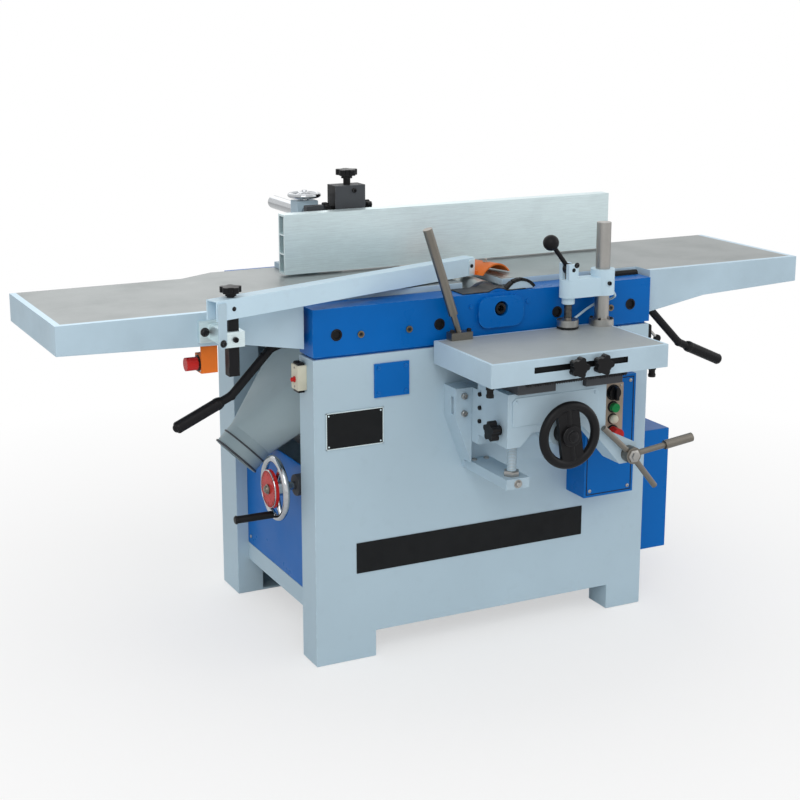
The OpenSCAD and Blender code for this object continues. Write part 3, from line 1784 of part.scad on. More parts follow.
module switch_box() {
  box_top = switch_box_z + switch_box_h;
  color("darkorange") difference() {
    union() {
      span(
        [switch_box_x, switch_box_y, switch_box_z],
        [switch_box_x + box_w, switch_box_y + switch_box_d, box_top]
      );
      span(
        [switch_box_x, switch_box_y, box_top - over],
        [switch_box_x + box_w, switch_box_y + switch_strap_t, table_h - deck_t]
      );
    }
    rod_x(
      left_stop_y, left_stop_z, switch_box_x - over, switch_box_x + stem_in + over, stem_r + gap
    );
  }
}

module left_stop_button() {
  head_x = switch_box_x - button_gap;
  color("red") {
    rod_x(left_stop_y, left_stop_z, head_x - stop_h, head_x, stop_r);
    rod_x(left_stop_y, left_stop_z, head_x - over, switch_box_x + stem_in - button_gap, stem_r);
  }
}

module limit_switch() {
  y1 = box_in_y - sheet_t;
  color("ivory") span([left_x - limit_w, y1 - limit_d, limit_z], [left_x, y1, limit_z + limit_h]);
}

base_front_panel();
base_rear_panel();
cross_rails();
end_panels();
front_plates();
access_cover();
motor_cover();
main_body();
cutter_bearings();
drive_cover();
motor();
drive_belt();
cheek_bolts();
limit_switch();
lift_gearbox();
control_box();
switch_plate();
mortiser_bracket();
outfeed_table();
guard_bracket();
switch_box();
fence_pedestal();
outfeed_lever();
outfeed_eccentric();
infeed_table();
infeed_lever();
infeed_eccentric();
cutterblock();
cutter_knives();
motor_pulley();
infeed_roller();
outfeed_roller();
thicknesser_bed();
lift_handwheel();
lift_dial();
dust_hood();
fence_bar();
fence_carriage();
fence_lock_wheel();
fence_knob();
fence_plate();
guard_post();
guard_beam();
guard_hood();
guard_knob();
mortiser_knee();
cross_slide();
mortise_table();
push_rod();
height_handwheel();
cross_lever();
stop_knobs();
clamp_column();
clamp_arm();
clamp_spindle();
clamp_cam();
selector_knob();
start_button();
stop_button();
left_stop_button();
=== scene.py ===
import json
import math
from typing import NamedTuple

import bmesh
import bpy
from bpy.props import FloatProperty, FloatVectorProperty, PointerProperty
from mathutils import Matrix, Vector


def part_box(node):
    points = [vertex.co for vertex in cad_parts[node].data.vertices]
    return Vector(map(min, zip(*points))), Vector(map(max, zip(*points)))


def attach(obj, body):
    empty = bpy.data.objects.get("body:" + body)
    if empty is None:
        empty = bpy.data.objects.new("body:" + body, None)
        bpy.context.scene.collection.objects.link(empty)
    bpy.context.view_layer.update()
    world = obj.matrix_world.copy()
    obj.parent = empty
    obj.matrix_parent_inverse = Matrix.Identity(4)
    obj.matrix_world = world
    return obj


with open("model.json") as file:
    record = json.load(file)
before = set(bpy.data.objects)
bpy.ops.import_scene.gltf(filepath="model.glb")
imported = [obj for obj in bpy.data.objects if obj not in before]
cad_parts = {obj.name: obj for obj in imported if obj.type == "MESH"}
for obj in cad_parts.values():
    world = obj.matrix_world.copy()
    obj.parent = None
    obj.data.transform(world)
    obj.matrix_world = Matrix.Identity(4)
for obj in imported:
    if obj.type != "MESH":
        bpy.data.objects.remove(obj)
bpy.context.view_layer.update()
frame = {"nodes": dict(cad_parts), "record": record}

bl_info = {
    "name": "Planer Thicknesser",
    "version": (1, 0, 0),
    "blender": (4, 5, 0),
    "location": "View3D > Sidebar > Planer",
    "description": "Finishes and fittings for the packed planer thicknesser",
    "category": "Object",
}

X, Y, Z = Vector((1, 0, 0)), Vector((0, 1, 0)), Vector((0, 0, 1))
MM = 0.001

# Nodes by how their edges are made; all others have fine edges
SHEET_NODES = (
    "base_front_panel", "base_rear_panel", "cross_rails", "end_panels", "motor_cover",
    "drive_cover", "control_box", "switch_box", "access_cover",
)
CAST_NODES = (
    "main_body", "outfeed_table", "infeed_table", "mortise_table", "mortiser_knee",
    "mortiser_bracket", "fence_pedestal", "fence_carriage", "clamp_arm", "cross_slide",
)

# Nodes that look different from the record's plain material
WHOLE_NODES = {
    # The dust hood takes a darker paint that stands in for its shade under the table
    "cross_slide": "grey_casting", "switch_plate": "tan_plate", "dust_hood": "hood_paint",
    "guard_beam": "pale_paint", "clamp_arm": "pale_paint", "clamp_column": "steel",
    "push_rod": "oiled_steel", "cross_lever": "oiled_steel",
}

# Places in millimetres that no box of the frame gives
CUTTER_X, CUTTER_Z = 25, 818
BORES_X, BORES_Z = (-397, -135, 185, 397), 794
BRASS_BOLTS_NEAR_X = (-337, -214, 339)
LEVER_TIP_X, LEVER_TIP_Y, LEVER_TIP_Z = 746, -219, 598
GUARD_DEGREES = 17.9
CARRIAGE_X = -178
HOOD_MOUTH = Vector((-523, 18, 436))
CRANK_Z = 344
KNEE_LEFT, KNEE_FRONT = -82, -540
LIFT_SCREW = (-40, -490)
WHEEL_AXIS, CROSS_AXIS = (56, 571), (246, 492)
COLUMN_X, COLUMN_Y = 288.5, -349
BUTTONS_X, LAMP_Z = 298, 534

# Turned forms, as (radius, height) pairs in millimetres
# Black plug that stands in for the shade inside a bore of the front cheek
BORE_SHADE_PLUG = ((12.2, -6), (12.2, 0), (13.8, 0), (13.8, 1.2), (10.5, 1.4), (9.8, -3), (0, -3))
RIVET = ((2.2, 0), (2, 0.8), (1.2, 1.4), (0, 1.6))
BOLT_SOCKET = ((5.6, 0), (5.6, 0.5), (4.6, 0.7), (4, 0.2), (0, 0.2))
LIP_SCREW = ((5.2, 0), (4.8, 0.5), (2.4, 0.5), (2.2, 0.2), (0, 0.2))
GRIP_CAP = ((14.2, 0), (14.2, 3), (12.5, 6.5), (7, 8.5), (0, 9))
GRIP_NECK = ((13.8, 0), (14.6, 3), (14.4, 9), (12.2, 16), (10.2, 19))
HOOD_STUD = ((8, 0), (8, 2), (3.5, 2.2), (3.5, 8), (2.5, 9), (0, 9.2))
BAR_CAP = ((16.5, -1), (16.5, 2), (14, 4), (6, 4), (4.5, 1), (0, 1))
LOCK_HUB = ((19, -4), (17, 4), (11, 8), (7, 8.5), (6, 12.5), (0, 13))
DIAL_BOSS = ((12, 0), (12, 3), (9.5, 4.5), (8.5, 8), (5, 8.5), (4.5, 10.5), (0, 11))
CRANK_CAP = ((9.8, -3), (10.5, 0), (8, 3), (0, 3.8))
SCREW_NUT = ((11.5, 0), (19, 0), (19.5, 2), (19.5, 11), (17.5, 13), (11.5, 13))
BUFFER = ((9.5, 0), (9.5, 12), (7.5, 14), (7.5, 22), (9, 24), (8.5, 30), (0, 31))
WHEEL_NUT = ((24, -2), (24, 2), (14, 4), (12, 9), (6, 12), (0, 12.8))
CROSS_NUT = ((16, -2), (16, 3), (11, 5), (9, 9), (0, 10.5))
LAMP_LENS = ((11.2, 0), (11.2, 2), (9.5, 5), (5.5, 7.2), (0, 8))
PLUNGER = ((7.2, 0), (7.2, 2), (5.2, 2.4), (5.2, 8), (3, 9.8), (0, 10.2))
ROLLER = ((8.5, 0), (9.5, 2), (9.5, 8), (8.5, 10), (0, 10.2))

# Screw heads, as (radius, height) pairs for a radius of 1
HEX_HEAD = ((1, 0.2), (1, 0.85), (0.84, 1))
SOCKET_HEAD = ((1, 0), (1, 0.9), (0.88, 1), (0.55, 1), (0.5, 0.45), (0, 0.4))
PAN_HEAD = ((1, 0), (0.96, 0.28), (0.7, 0.5), (0.36, 0.56), (0.3, 0.28), (0, 0.24))

# Flat outlines, as (across, up) pairs in millimetres
LOUVRE = ((0, 0), (1, 17), (7, 4), (7, 0))
MOTOR_FIN = ((-1.4, -3), (1.4, -3), (0.8, 5.5), (-0.8, 5.5))
# Black strip that stands in for the shade in the gap between the infeed table and the cheek
GAP_SHADE_STRIP = ((0, 0), (16, 0), (16, 6), (11, 11), (5, 11), (0, 6))
GUARD_TAB = ((-50, 38), (-50, -52), (-44, -60), (-34, -60), (-28, -52), (-28, 38))
BEAM_END = ((-19, 1), (19, 1), (19, 40), (14, 45), (-14, 45), (-19, 40))
BEAM_SIDE = ((716, 4), (737, 4), (737, 40), (720, 40), (716, 36))
KNEE_COVER = ((-70, 20), (-70, 78), (-62, 86), (150, 86), (158, 78), (158, 20))
LIMIT_STRIP = ((0, 0), (16, 0), (16, 4), (13, 6), (3, 6), (0, 4))
LIMIT_BODY = ((0, 0), (14, 0), (18, 4), (18, 34), (14, 38), (0, 38))

# The bends of the wire guard, from the clamp arm round the column to the spindle
WIRE_ROUTE = (
    (312, -363, 840), (320, -359, 830), (321, -347, 822), (314, -335, 816),
    (292, -320, 808), (262, -326, 798), (222, -334, 779), (208, -344, 772),
)

# Camera that matches the photograph, in metres and degrees
CAMERA_PLACE = (-1.8203, -3.4889, 1.5645)
CAMERA_PITCH, CAMERA_YAW = 76.607, -26.487
CAMERA_LENS, CAMERA_SENSOR, CAMERA_SHIFT = 71.28, 36.0, -0.05

# Lamps: name, place, target, width in metres, and the setting that gives the power
LAMPS = (
    ("key_lamp", (-2.6, -4.2, 4.2), (0.0, -0.1, 0.6), 3.0, "key"),
    ("fill_lamp", (4.2, -2.6, 2.6), (0.2, 0.0, 0.6), 3.2, "fill"),
    ("back_lamp", (0.6, 4.0, 3.6), (0.0, 0.2, 0.8), 3.2, "fill"),
)


def colour(label, text, value):
    """A colour that a user may change."""
    return FloatVectorProperty(
        name=label, description=text, subtype="COLOR", size=3, min=0, max=1, default=value
    )


def length(label, text, value):
    """A length that a user may change."""
    return FloatProperty(name=label, description=text, unit="LENGTH", min=0, default=value, precision=4)


class PlanerColours(bpy.types.PropertyGroup):
    """Colours of the finishes, one for each material slot."""

    light_paint: colour("Light paint", "Folded sheet panels", (0.465, 0.60, 0.685))
    blue_paint: colour("Blue paint", "Covers and end panels", (0.0, 0.135, 0.48))
    blue_casting: colour("Blue casting", "Cheeks of the casting", (0.0, 0.132, 0.48))
    light_casting: colour("Light casting", "Painted castings", (0.48, 0.62, 0.715))
    grey_casting: colour("Grey casting", "Dark cast blocks", (0.075, 0.08, 0.088))
    mortise_iron: colour("Mortise table iron", "Ground top of the mortise table", (0.40, 0.44, 0.45))
    table_iron: colour("Table iron", "Ground table tops", (0.31, 0.335, 0.335))
    steel: colour("Steel", "Machined steel", (0.42, 0.41, 0.39))
    oiled_steel: colour("Oiled steel", "Browned bars of the mortiser", (0.21, 0.195, 0.17))
    chrome: colour("Chrome", "Plated handwheel", (0.5, 0.52, 0.54))
    black_steel: colour("Black steel", "Blacked bars and levers", (0.011, 0.011, 0.0125))
    black_plastic: colour("Black plastic", "Knobs and grips", (0.008, 0.008, 0.009))
    black_plate: colour("Black plate", "Band and nameplate", (0.007, 0.008, 0.009))
    aluminium: colour("Aluminium", "Fence and guard", (0.76, 0.89, 0.92))
    orange_plastic: colour("Orange plastic", "Guard hood and switch box", (0.74, 0.17, 0.02))
    red_plastic: colour("Red plastic", "Stop buttons and dial", (0.52, 0.02, 0.018))
    green_plastic: colour("Green plastic", "Start button", (0.01, 0.26, 0.07))
    ivory_plastic: colour("Ivory plastic", "Limit switch and lamp", (0.66, 0.63, 0.5))
    rubber: colour("Rubber", "Belt and buffers", (0.014, 0.014, 0.014))
    brass: colour("Brass", "Bolts of the cheeks", (0.24, 0.18, 0.10))
    pale_paint: colour("Pale paint", "Guard beam and clamp arm", (0.58, 0.75, 0.86))
    # Light paint darkened as painted shade: the dust hood sits in the shade under the table
    hood_paint: colour("Hood paint", "Sheet of the dust hood", (0.36, 0.45, 0.48))
    tan_plate: colour("Tan plate", "Front plate of the switches", (0.40, 0.32, 0.25))


class PlanerSizes(bpy.types.PropertyGroup):
    """Sizes of the fittings that are added to the solids."""

    sheet_edge: length("Sheet edge", "Rounding of folded sheet edges", 0.0022)
    cast_edge: length("Casting edge", "Rounding of cast edges", 0.0025)
    fine_edge: length("Fine edge", "Rounding of small parts", 0.0009)
    screw: length("Screw head", "Radius of the cover screws", 0.0045)
    bolt: length("Bolt head", "Radius of the machine bolts", 0.0075)
    wire: length("Wire", "Radius of the bent wire guard", 0.003)
    lip: length("Lip width", "Width of the steel lips at the cutterblock", 0.034)


class PlanerStage(bpy.types.PropertyGroup):
    """Light and floor round the machine."""

    key: FloatProperty(name="Key lamp", description="Power of the key lamp", unit="POWER", default=75.0)
    fill: FloatProperty(name="Fill lamp", description="Power of the fill lamp", unit="POWER", default=26.0)
    sky: FloatProperty(name="Sky", description="Strength of the light from all sides", default=0.66)
    floor: colour("Floor", "Colour of the floor", (0.93, 0.93, 0.93))


# Finishes


class Skin(NamedTuple):
    """How a coating looks; a noise is (scale, detail, roughness) with scale in cells a metre."""

    gloss: float  # specular level
    cloud: tuple  # noise of the colour's drift
    tones: tuple  # darkest and lightest share of the colour
    dusty: bool
    edge: float  # reach of the wear from an edge, in metres
    chips: tuple  # noise that breaks up the wear
    chipped: tuple  # range of that noise, and the range that it is brought to
    patches: tuple  # noise of the roughness
    grain: tuple  # detail and roughness of the relief's noise
    depth: float  # relief in metres


SPRAYED = Skin(0.13, (2.2, 4.0), (0.93, 1.05), True, 0.003, (60.0, 4.0), (0.42, 0.62), (9.0, 5.0), (2.0,), 0.0004)
CAST = Skin(0.13, (5.0, 5.0), (0.86, 1.08), False, 0.0035, (75.0, 5.0), (0.46, 0.64), (16.0, 5.0), (5.0, 0.6), 0.0006)
MOULDED = Skin(
    0.18, (12.0, 4.0), (0.82, 1.16), False, 0.0015, (130.0, 3.0), (0.4, 0.65, 0.0, 0.7), (34.0, 4.0), (3.0,), 0.0003
)

# Coated finishes: skin, range of roughness, worn colour or its share of the tint (None for plastics),
# cells a metre and strength of the relief
PALE = (SPRAYED, (0.34, 0.5), 1.2, 620.0, 0.12)
HOUSING = (MOULDED, (0.34, 0.52), None, 480.0, 0.1)
PLATE = (MOULDED, (0.5, 0.66), None, 480.0, 0.1)
BUTTON = (MOULDED, (0.2, 0.34), None, 300.0, 0.05)
COATS = {
    "light_paint": PALE, "pale_paint": PALE, "hood_paint": PALE,
    "blue_paint": (SPRAYED, (0.26, 0.42), (0.05, 0.2, 0.5), 620.0, 0.12),
    "black_steel": (SPRAYED, (0.3, 0.5), (0.09, 0.09, 0.09), 800.0, 0.1),
    "blue_casting": (CAST, (0.24, 0.42), (0.05, 0.21, 0.52), 260.0, 0.22),
    "light_casting": (CAST, (0.36, 0.52), 1.15, 260.0, 0.22),
    "grey_casting": (CAST, (0.4, 0.6), 2.2, 260.0, 0.22),
    "orange_plastic": HOUSING, "ivory_plastic": HOUSING,
    "black_plate": PLATE, "tan_plate": PLATE,
    "red_plastic": BUTTON, "green_plastic": BUTTON,
    "black_plastic": (MOULDED, (0.3, 0.5), None, 520.0, 0.16),
    "rubber": (MOULDED, (0.6, 0.8), None, 700.0, 0.25),
}

# Bare metals: range of roughness, stretch and scale of the tool marks, metallic, strength of the relief
ALONG_X, EVEN = (4.0, 130.0, 130.0), (60.0, 60.0, 60.0)
METALS = {
    "table_iron": ((0.34, 0.52), ALONG_X, 5.0, 0.6, 0.06),
    "mortise_iron": ((0.5, 0.66), ALONG_X, 5.0, 0.3, 0.08),
    "aluminium": ((0.3, 0.46), ALONG_X, 7.0, 0.7, 0.05),
    "steel": ((0.26, 0.46), EVEN, 8.0, 0.95, 0.08),
    "oiled_steel": ((0.26, 0.44), EVEN, 8.0, 0.92, 0.1),
    "brass": ((0.24, 0.42), EVEN, 8.0, 0.95, 0.06),
    "chrome": ((0.07, 0.2), EVEN, 3.0, 1.0, 0.02),
}


def linked(tree, kind, *values):
    """A new node with its first inputs linked to values."""
    made = tree.nodes.new(kind)
    for value, socket in zip(values, made.inputs):
        tree.links.new(value, socket)
    return made


def math_node(tree, operation, first, second):
    """The outcome of an operation on two linked values."""
    made = linked(tree, "ShaderNodeMath", first, second)
    made.operation = operation
    return made.outputs[0]


def mix_surfaces(tree, share, first, second, output):
    """Shows first, and second by the given share."""
    mix = linked(tree, "ShaderNodeMixShader", share, first.outputs[0], second.outputs[0])
    tree.links.new(mix.outputs["Shader"], output.inputs["Surface"])


class Finish:
    """A node material in the making."""

    def __init__(self, name, **values):
        self.material = bpy.data.materials.new(name)
        self.material.use_nodes = True
        self.tree = self.material.node_tree
        self.nodes, self.links = self.tree.nodes, self.tree.links
        self.shader = self.fill(self.nodes["Principled BSDF"], **values)
        self.place = self.nodes.new("ShaderNodeTexCoord").outputs["Object"]

    def fill(self, node, **inputs):
        """Sets or links the inputs of a node by name."""
        for label, value in inputs.items():
            socket = node.inputs[label.replace("_", " ")]
            if isinstance(value, bpy.types.NodeSocket):
                self.links.new(value, socket)
            else:
                socket.default_value = value
        return node

    def node(self, kind, **inputs):
        """A new node with its inputs set or linked."""
        return self.fill(self.nodes.new(kind), **inputs)

    def noise(self, scale, detail=3.0, rough=0.5, stretch=None):
        """A cloudy pattern with cells of about 1 / scale metres."""
        place = self.place
        if stretch:
            place = self.node("ShaderNodeMapping", Vector=place, Scale=stretch).outputs["Vector"]
        made = self.node("ShaderNodeTexNoise", Vector=place, Scale=scale, Detail=detail, Roughness=rough)
        return made.outputs["Fac"]

    def spread(self, value, low, high, to_low=0.0, to_high=1.0):
        """The part of a pattern between low and high, brought to another range."""
        made = self.node(
            "ShaderNodeMapRange", Value=value, From_Min=low, From_Max=high, To_Min=to_low, To_Max=to_high
        )
        return made.outputs["Result"]

    def product(self, first, second):
        """Two patterns multiplied."""
        return math_node(self.tree, "MULTIPLY", first, second)

    def tones(self, pattern, shade, light, margin=0.25):
        """A colour that runs from shade to light with a pattern."""
        ramp = self.node("ShaderNodeValToRGB", Fac=pattern)
        dark, bright = ramp.color_ramp.elements
        dark.color, bright.color = (*shade, 1), (*light, 1)
        dark.position, bright.position = margin, 1 - margin
        return ramp.outputs["Color"]

    def mixed(self, pattern, first, second):
        """A colour that goes from first, which is linked, to second where a pattern is high."""
        made = self.nodes.new("ShaderNodeMix")
        made.data_type = "RGBA"
        fac, start, end = (made.inputs[i] for i in (0, 6, 7))
        self.links.new(pattern, fac)
        self.links.new(first, start)
        end.default_value = (*second, 1)
        return made.outputs[2]

    def edges(self, reach):
        """High along the edges of the solid, within reach metres."""
        soft = self.node("ShaderNodeBevel", Radius=reach)
        soft.samples = 4
        plain = self.node("ShaderNodeNewGeometry")
        dot = linked(self.tree, "ShaderNodeVectorMath", soft.outputs["Normal"], plain.outputs["Normal"])
        dot.operation = "DOT_PRODUCT"
        flat, sharp = 0.995, 0.9
        return self.spread(dot.outputs["Value"], flat, sharp)

    def border(self, low, high, width, fade=0.1):
        """High within width of the outer sides of a rectangle in X and Y."""
        split = self.node("ShaderNodeSeparateXYZ", Vector=self.place)
        found = None
        for axis, start, end in (("X", low[0], high[0]), ("Y", low[1], high[1])):
            for edge, inward in ((start, width), (end, -width)):
                near = self.spread(split.outputs[axis], edge + inward, edge + (1 - fade) * inward)
                found = near if found is None else math_node(self.tree, "MAXIMUM", found, near)
        return found

    def finish(self, base, rough, height, strength, depth):
        """Links colour, roughness and relief to the shader."""
        bump = self.node("ShaderNodeBump", Height=height, Strength=strength, Distance=depth)
        self.fill(self.shader, Base_Color=base, Roughness=rough, Normal=bump.outputs["Normal"])


def scaled(base, factor):
    """A lighter or darker tone of a colour."""
    return tuple(min(1.0, v * factor) for v in base)


def worn_tone(tint, wear):
    """The colour of a coating where it is rubbed."""
    if wear is None:
        kept, grey = 0.6, 0.06
        return tuple(kept * v + grey for v in tint)
    return wear if isinstance(wear, tuple) else scaled(tint, wear)


def coated(label, tint, skin, rough, wear, grain, relief):
    """Paint or plastic: drifting colour, dust, rubbed edges, uneven gloss and a fine relief."""
    made = Finish(label, Specular_IOR_Level=skin.gloss)
    tone = made.tones(made.noise(*skin.cloud), *(scaled(tint, share) for share in skin.tones))
    if skin.dusty:
        dust = made.spread(made.noise(26.0, 6.0, 0.65), 0.56, 0.78, 0.0, 0.35)
        tone = made.mixed(dust, tone, scaled(tint, 0.86))
    rubbed = made.product(made.edges(skin.edge), made.spread(made.noise(*skin.chips), *skin.chipped))
    tone = made.mixed(rubbed, tone, worn_tone(tint, wear))
    gloss = made.spread(made.noise(*skin.patches), 0.3, 0.7, *rough)
    made.finish(tone, gloss, made.noise(grain, *skin.grain), relief, skin.depth)


def machined(label, tint, rough, stretch, scale, metallic, relief, rim):
    """Bare metal with stains and fine tool marks, and paint on its rim if it has one."""
    made = Finish(label, Metallic=metallic)
    marks = made.noise(scale, 6.0, 0.7, stretch)
    stain = made.noise(7.0, 5.0, 0.6)
    tone = made.tones(marks, scaled(tint, 0.84), scaled(tint, 1.1))
    tone = made.mixed(made.spread(stain, 0.5, 0.8, 0.0, 0.5), tone, scaled(tint, 0.74))
    if rim:
        paint = tuple(bpy.context.scene.planer_colours.light_casting)
        tone = made.mixed(made.border(*rim), tone, scaled(paint, 1.15))
    gloss = made.spread(made.product(marks, stain), 0.1, 0.45, *rough)
    made.finish(tone, gloss, marks, relief, 0.0003)


def painted_rim(name):
    """The low and high corner and the width of a ground top's painted rim, in metres."""
    if name == "table_iron":
        low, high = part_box("outfeed_table")[0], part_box("infeed_table")[1]
        no_rim_behind = 0.234
        return low.xy, (high.x, high.y + no_rim_behind), 0.016
    if name == "mortise_iron":
        low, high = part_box("mortise_table")
        return low.xy, high.xy, 0.008
    return None


def finish(name):
    """The finish of a name, made at its first use under a label of its own."""
    label = name + "_finish"
    if label not in bpy.data.materials:
        tint = tuple(getattr(bpy.context.scene.planer_colours, name))
        if name in METALS:
            machined(label, tint, *METALS[name], painted_rim(name))
        else:
            coated(label, tint, *COATS[name])
    return bpy.data.materials[label]


# Shapes


def box(node):
    """The lowest and highest corner of a node, in millimetres."""
    low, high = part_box(node)
    return low / MM, high / MM


def centre(node):
    """The middle of a node's box, in millimetres."""
    low, high = box(node)
    return (low + high) / 2


def size(name):
    """A size of the fittings, in millimetres."""
    return getattr(bpy.context.scene.planer_sizes, name) / MM


def within(low, high, inset):
    """Two values inset from the ends of a span."""
    return low + inset, high - inset


def grid(*axes):
    """Every point with one value from each of three axes, where an axis holds one value or more."""
    xs, ys, zs = (axis if isinstance(axis, tuple) else (axis,) for axis in axes)
    return [(x, y, z) for x in xs for y in ys for z in zs]


def corners(node, side, inset):
    """Places near the corners of the face of a node's box that looks to a side."""
    spans = zip(*box(node), side)
    return grid(*(within(low, high, inset) if not way else low if way < 0 else high for low, high, way in spans))


def steps(first, pitch, count):
    """Evenly spaced values."""
    return tuple(first + pitch * i for i in range(count))


def turns(count):
    """Evenly spaced angles of a full turn, in radians."""
    return steps(0, 2 * math.pi / count, count)


def polar(radius, turn):
    """A point on a circle, as a pair."""
    return radius * math.cos(turn), radius * math.sin(turn)


def rectangle(wide, tall):
    """An outline from its lower left corner."""
    return [(0, 0), (wide, 0), (wide, tall), (0, tall)]


def each(places):
    """One place, or each place of a list."""
    return places if isinstance(places, list) else [places]


class Shape:
    """A mesh in the making, in millimetres from an origin; most forms take one place or a list."""

    def __init__(self, origin=Matrix.Identity(4)):
        self.bm, self.origin = bmesh.new(), origin

    def points(self, places):
        """New points of the mesh."""
        return [self.bm.verts.new(place) for place in places]

    def loft(self, rings, closed=False):
        """Faces between rings of points, with the ends joined or capped; a ring may be one point repeated."""
        faces = [] if closed else [rings[0], rings[-1]]
        for lower, upper in zip(rings, [*rings[1:], rings[0]] if closed else rings[1:]):
            faces += [(lower[i - 1], lower[i], upper[i], upper[i - 1]) for i in range(len(lower))]
        for face in faces:
            corner = list(dict.fromkeys(face))
            if len(corner) > 2:
                self.bm.faces.new(corner)

    def four_bars(self, left, right, bottom, top, face, rise, bar=2, sunk=1):
        """A thin frame on a face that looks to the front."""
        sides = grid((left, right - bar), face + sunk, bottom)
        self.plate(rectangle(bar, top - bottom), sides, X, Z, rise + sunk)
        ends = grid(left, face + sunk, (bottom, top - bar))
        return self.plate(rectangle(right - left, bar), ends, X, Z, rise + sunk)

    def turned(self, profile, places, axis, sides=28, closed=False):
        """A form turned about axis; profile holds (radius, height) pairs from each place."""
        turn = Z.rotation_difference(Vector(axis)).to_matrix().to_4x4()
        for place in each(places):
            matrix = Matrix.Translation(place) @ turn
            rings = []
            for radius, height in profile:
                if radius == 0:
                    rings.append(self.points([matrix @ Vector((0, 0, height))]) * sides)
                else:
                    rings.append(self.points(matrix @ Vector((*polar(radius, t), height)) for t in turns(sides)))
            self.loft(rings, closed)
        return self

    def ring(self, places, axis, radius, thick, sides, round_sides):
        """A round ring of round stock."""
        stock = [polar(thick, t) for t in turns(round_sides)]
        return self.turned([(radius + out, up) for out, up in stock], places, axis, sides, closed=True)

    def collar(self, places, axis, inner, outer, height, sides=32):
        """A flat washer or sleeve with an eased outer edge."""
        ease = 0.25 * min(height, outer - inner)
        profile = [(inner, 0), (outer, 0), (outer, height - ease), (outer - ease, height), (inner, height)]
        return self.turned(profile, places, axis, sides, closed=True)

    def wire(self, route, radius, sides=12):
        """A bent wire along a route, with rounded bends."""
        line = smooth_line([Vector(p) for p in route])
        rings, side = [], None
        for i, point in enumerate(line):
            way = (line[min(i + 1, len(line) - 1)] - line[max(i - 1, 0)]).normalized()
            side = side or way.orthogonal()
            side = (side - way * side.dot(way)).normalized()
            up = way.cross(side)
            pairs = [polar(radius, t) for t in turns(sides)]
            rings.append(self.points(point + a * side + b * up for a, b in pairs))
        self.loft(rings)
        return self

    def plate(self, outline, places, across, up, thick):
        """A flat plate: outline holds (across, up) pairs, and thick goes along across x up."""
        out = across.cross(up) * thick
        for place in each(places):
            near = [Vector(place) + a * across + b * up for a, b in outline]
            self.loft([self.points(near), self.points(point + out for point in near)])
        return self

    def head(self, profile, places, axis, radius, sides):
        """A screw head of a given radius."""
        return self.turned([(radius * r, radius * h) for r, h in profile], places, axis, sides)

    def hex_bolt(self, places, axis, radius=None):
        """A hexagon bolt head on its washer."""
        radius = radius or size("bolt")
        self.collar(places, axis, radius * 0.3, radius * 1.35, radius * 0.22)
        return self.head(HEX_HEAD, places, axis, radius, 6)

    def socket_screw(self, places, axis, radius=None):
        """A cap screw with a socket."""
        return self.head(SOCKET_HEAD, places, axis, radius or size("bolt"), 24)

    def pan_screw(self, places, axis, radius=None):
        """A domed screw with a round recess."""
        return self.head(PAN_HEAD, places, axis, radius or size("screw"), 20)

    def mesh(self, name):
        """The finished mesh, in metres."""
        made = bpy.data.meshes.new(name)
        self.bm.to_mesh(made)
        self.bm.free()
        made.transform(Matrix.Scale(MM, 4) @ self.origin)
        return made

    def piece(self, name, finish_name, body="frame"):
        """Closes the mesh, gives it its finish and sets it on a body."""
        bmesh.ops.recalc_face_normals(self.bm, faces=self.bm.faces)
        mesh = self.mesh(name)
        mesh.polygons.foreach_set("use_smooth", [True] * len(mesh.polygons))
        mesh.set_sharp_from_angle(angle=math.radians(38))
        mesh.materials.append(finish(finish_name))
        made = bpy.data.objects.new(name, mesh)
        bpy.context.scene.collection.objects.link(made)
        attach(made, body)
        return made


def smooth_line(points, steps=6):
    """Points along a line whose corners are rounded off."""
    line = [points[0]]
    for before, corner, after in zip(points, points[1:], points[2:]):
        reach = 0.35 * min((before - corner).length, (after - corner).length)
        start = corner + (before - corner).normalized() * reach
        end = corner + (after - corner).normalized() * reach
        for i in range(steps + 1):
            t = i / steps
            line.append((1 - t) ** 2 * start + 2 * t * (1 - t) * corner + t * t * end)
    return [*line, points[-1]]


def ease(made, width):
    """Rounds the sharp edges of a piece or a node with modifiers; width is in millimetres."""
    weld = made.modifiers.new("Join corners", "WELD")
    weld.merge_threshold = 0.01 * MM
    bevel = made.modifiers.new("Eased edges", "BEVEL")
    bevel.limit_method = "ANGLE"
    bevel.angle_limit = math.radians(40)
    bevel.width = width * MM
    bevel.segments = 2
    normal = made.modifiers.new("Even shading", "WEIGHTED_NORMAL")
    normal.keep_sharp = False


def second_finish(node, finish_name, chosen=lambda c, n: True):
    """Gives another finish to the faces of a node that chosen(centre in mm, normal) picks."""
    mesh = frame["nodes"][node].data
    mesh.materials.append(finish(finish_name))
    picked = [f for f in mesh.polygons if chosen(f.center / MM, f.normal)]
    if not picked:
        raise RuntimeError(f"no face of {node} takes {finish_name}")
    for face in picked:
        face.material_index = len(mesh.materials) - 1


# Operators


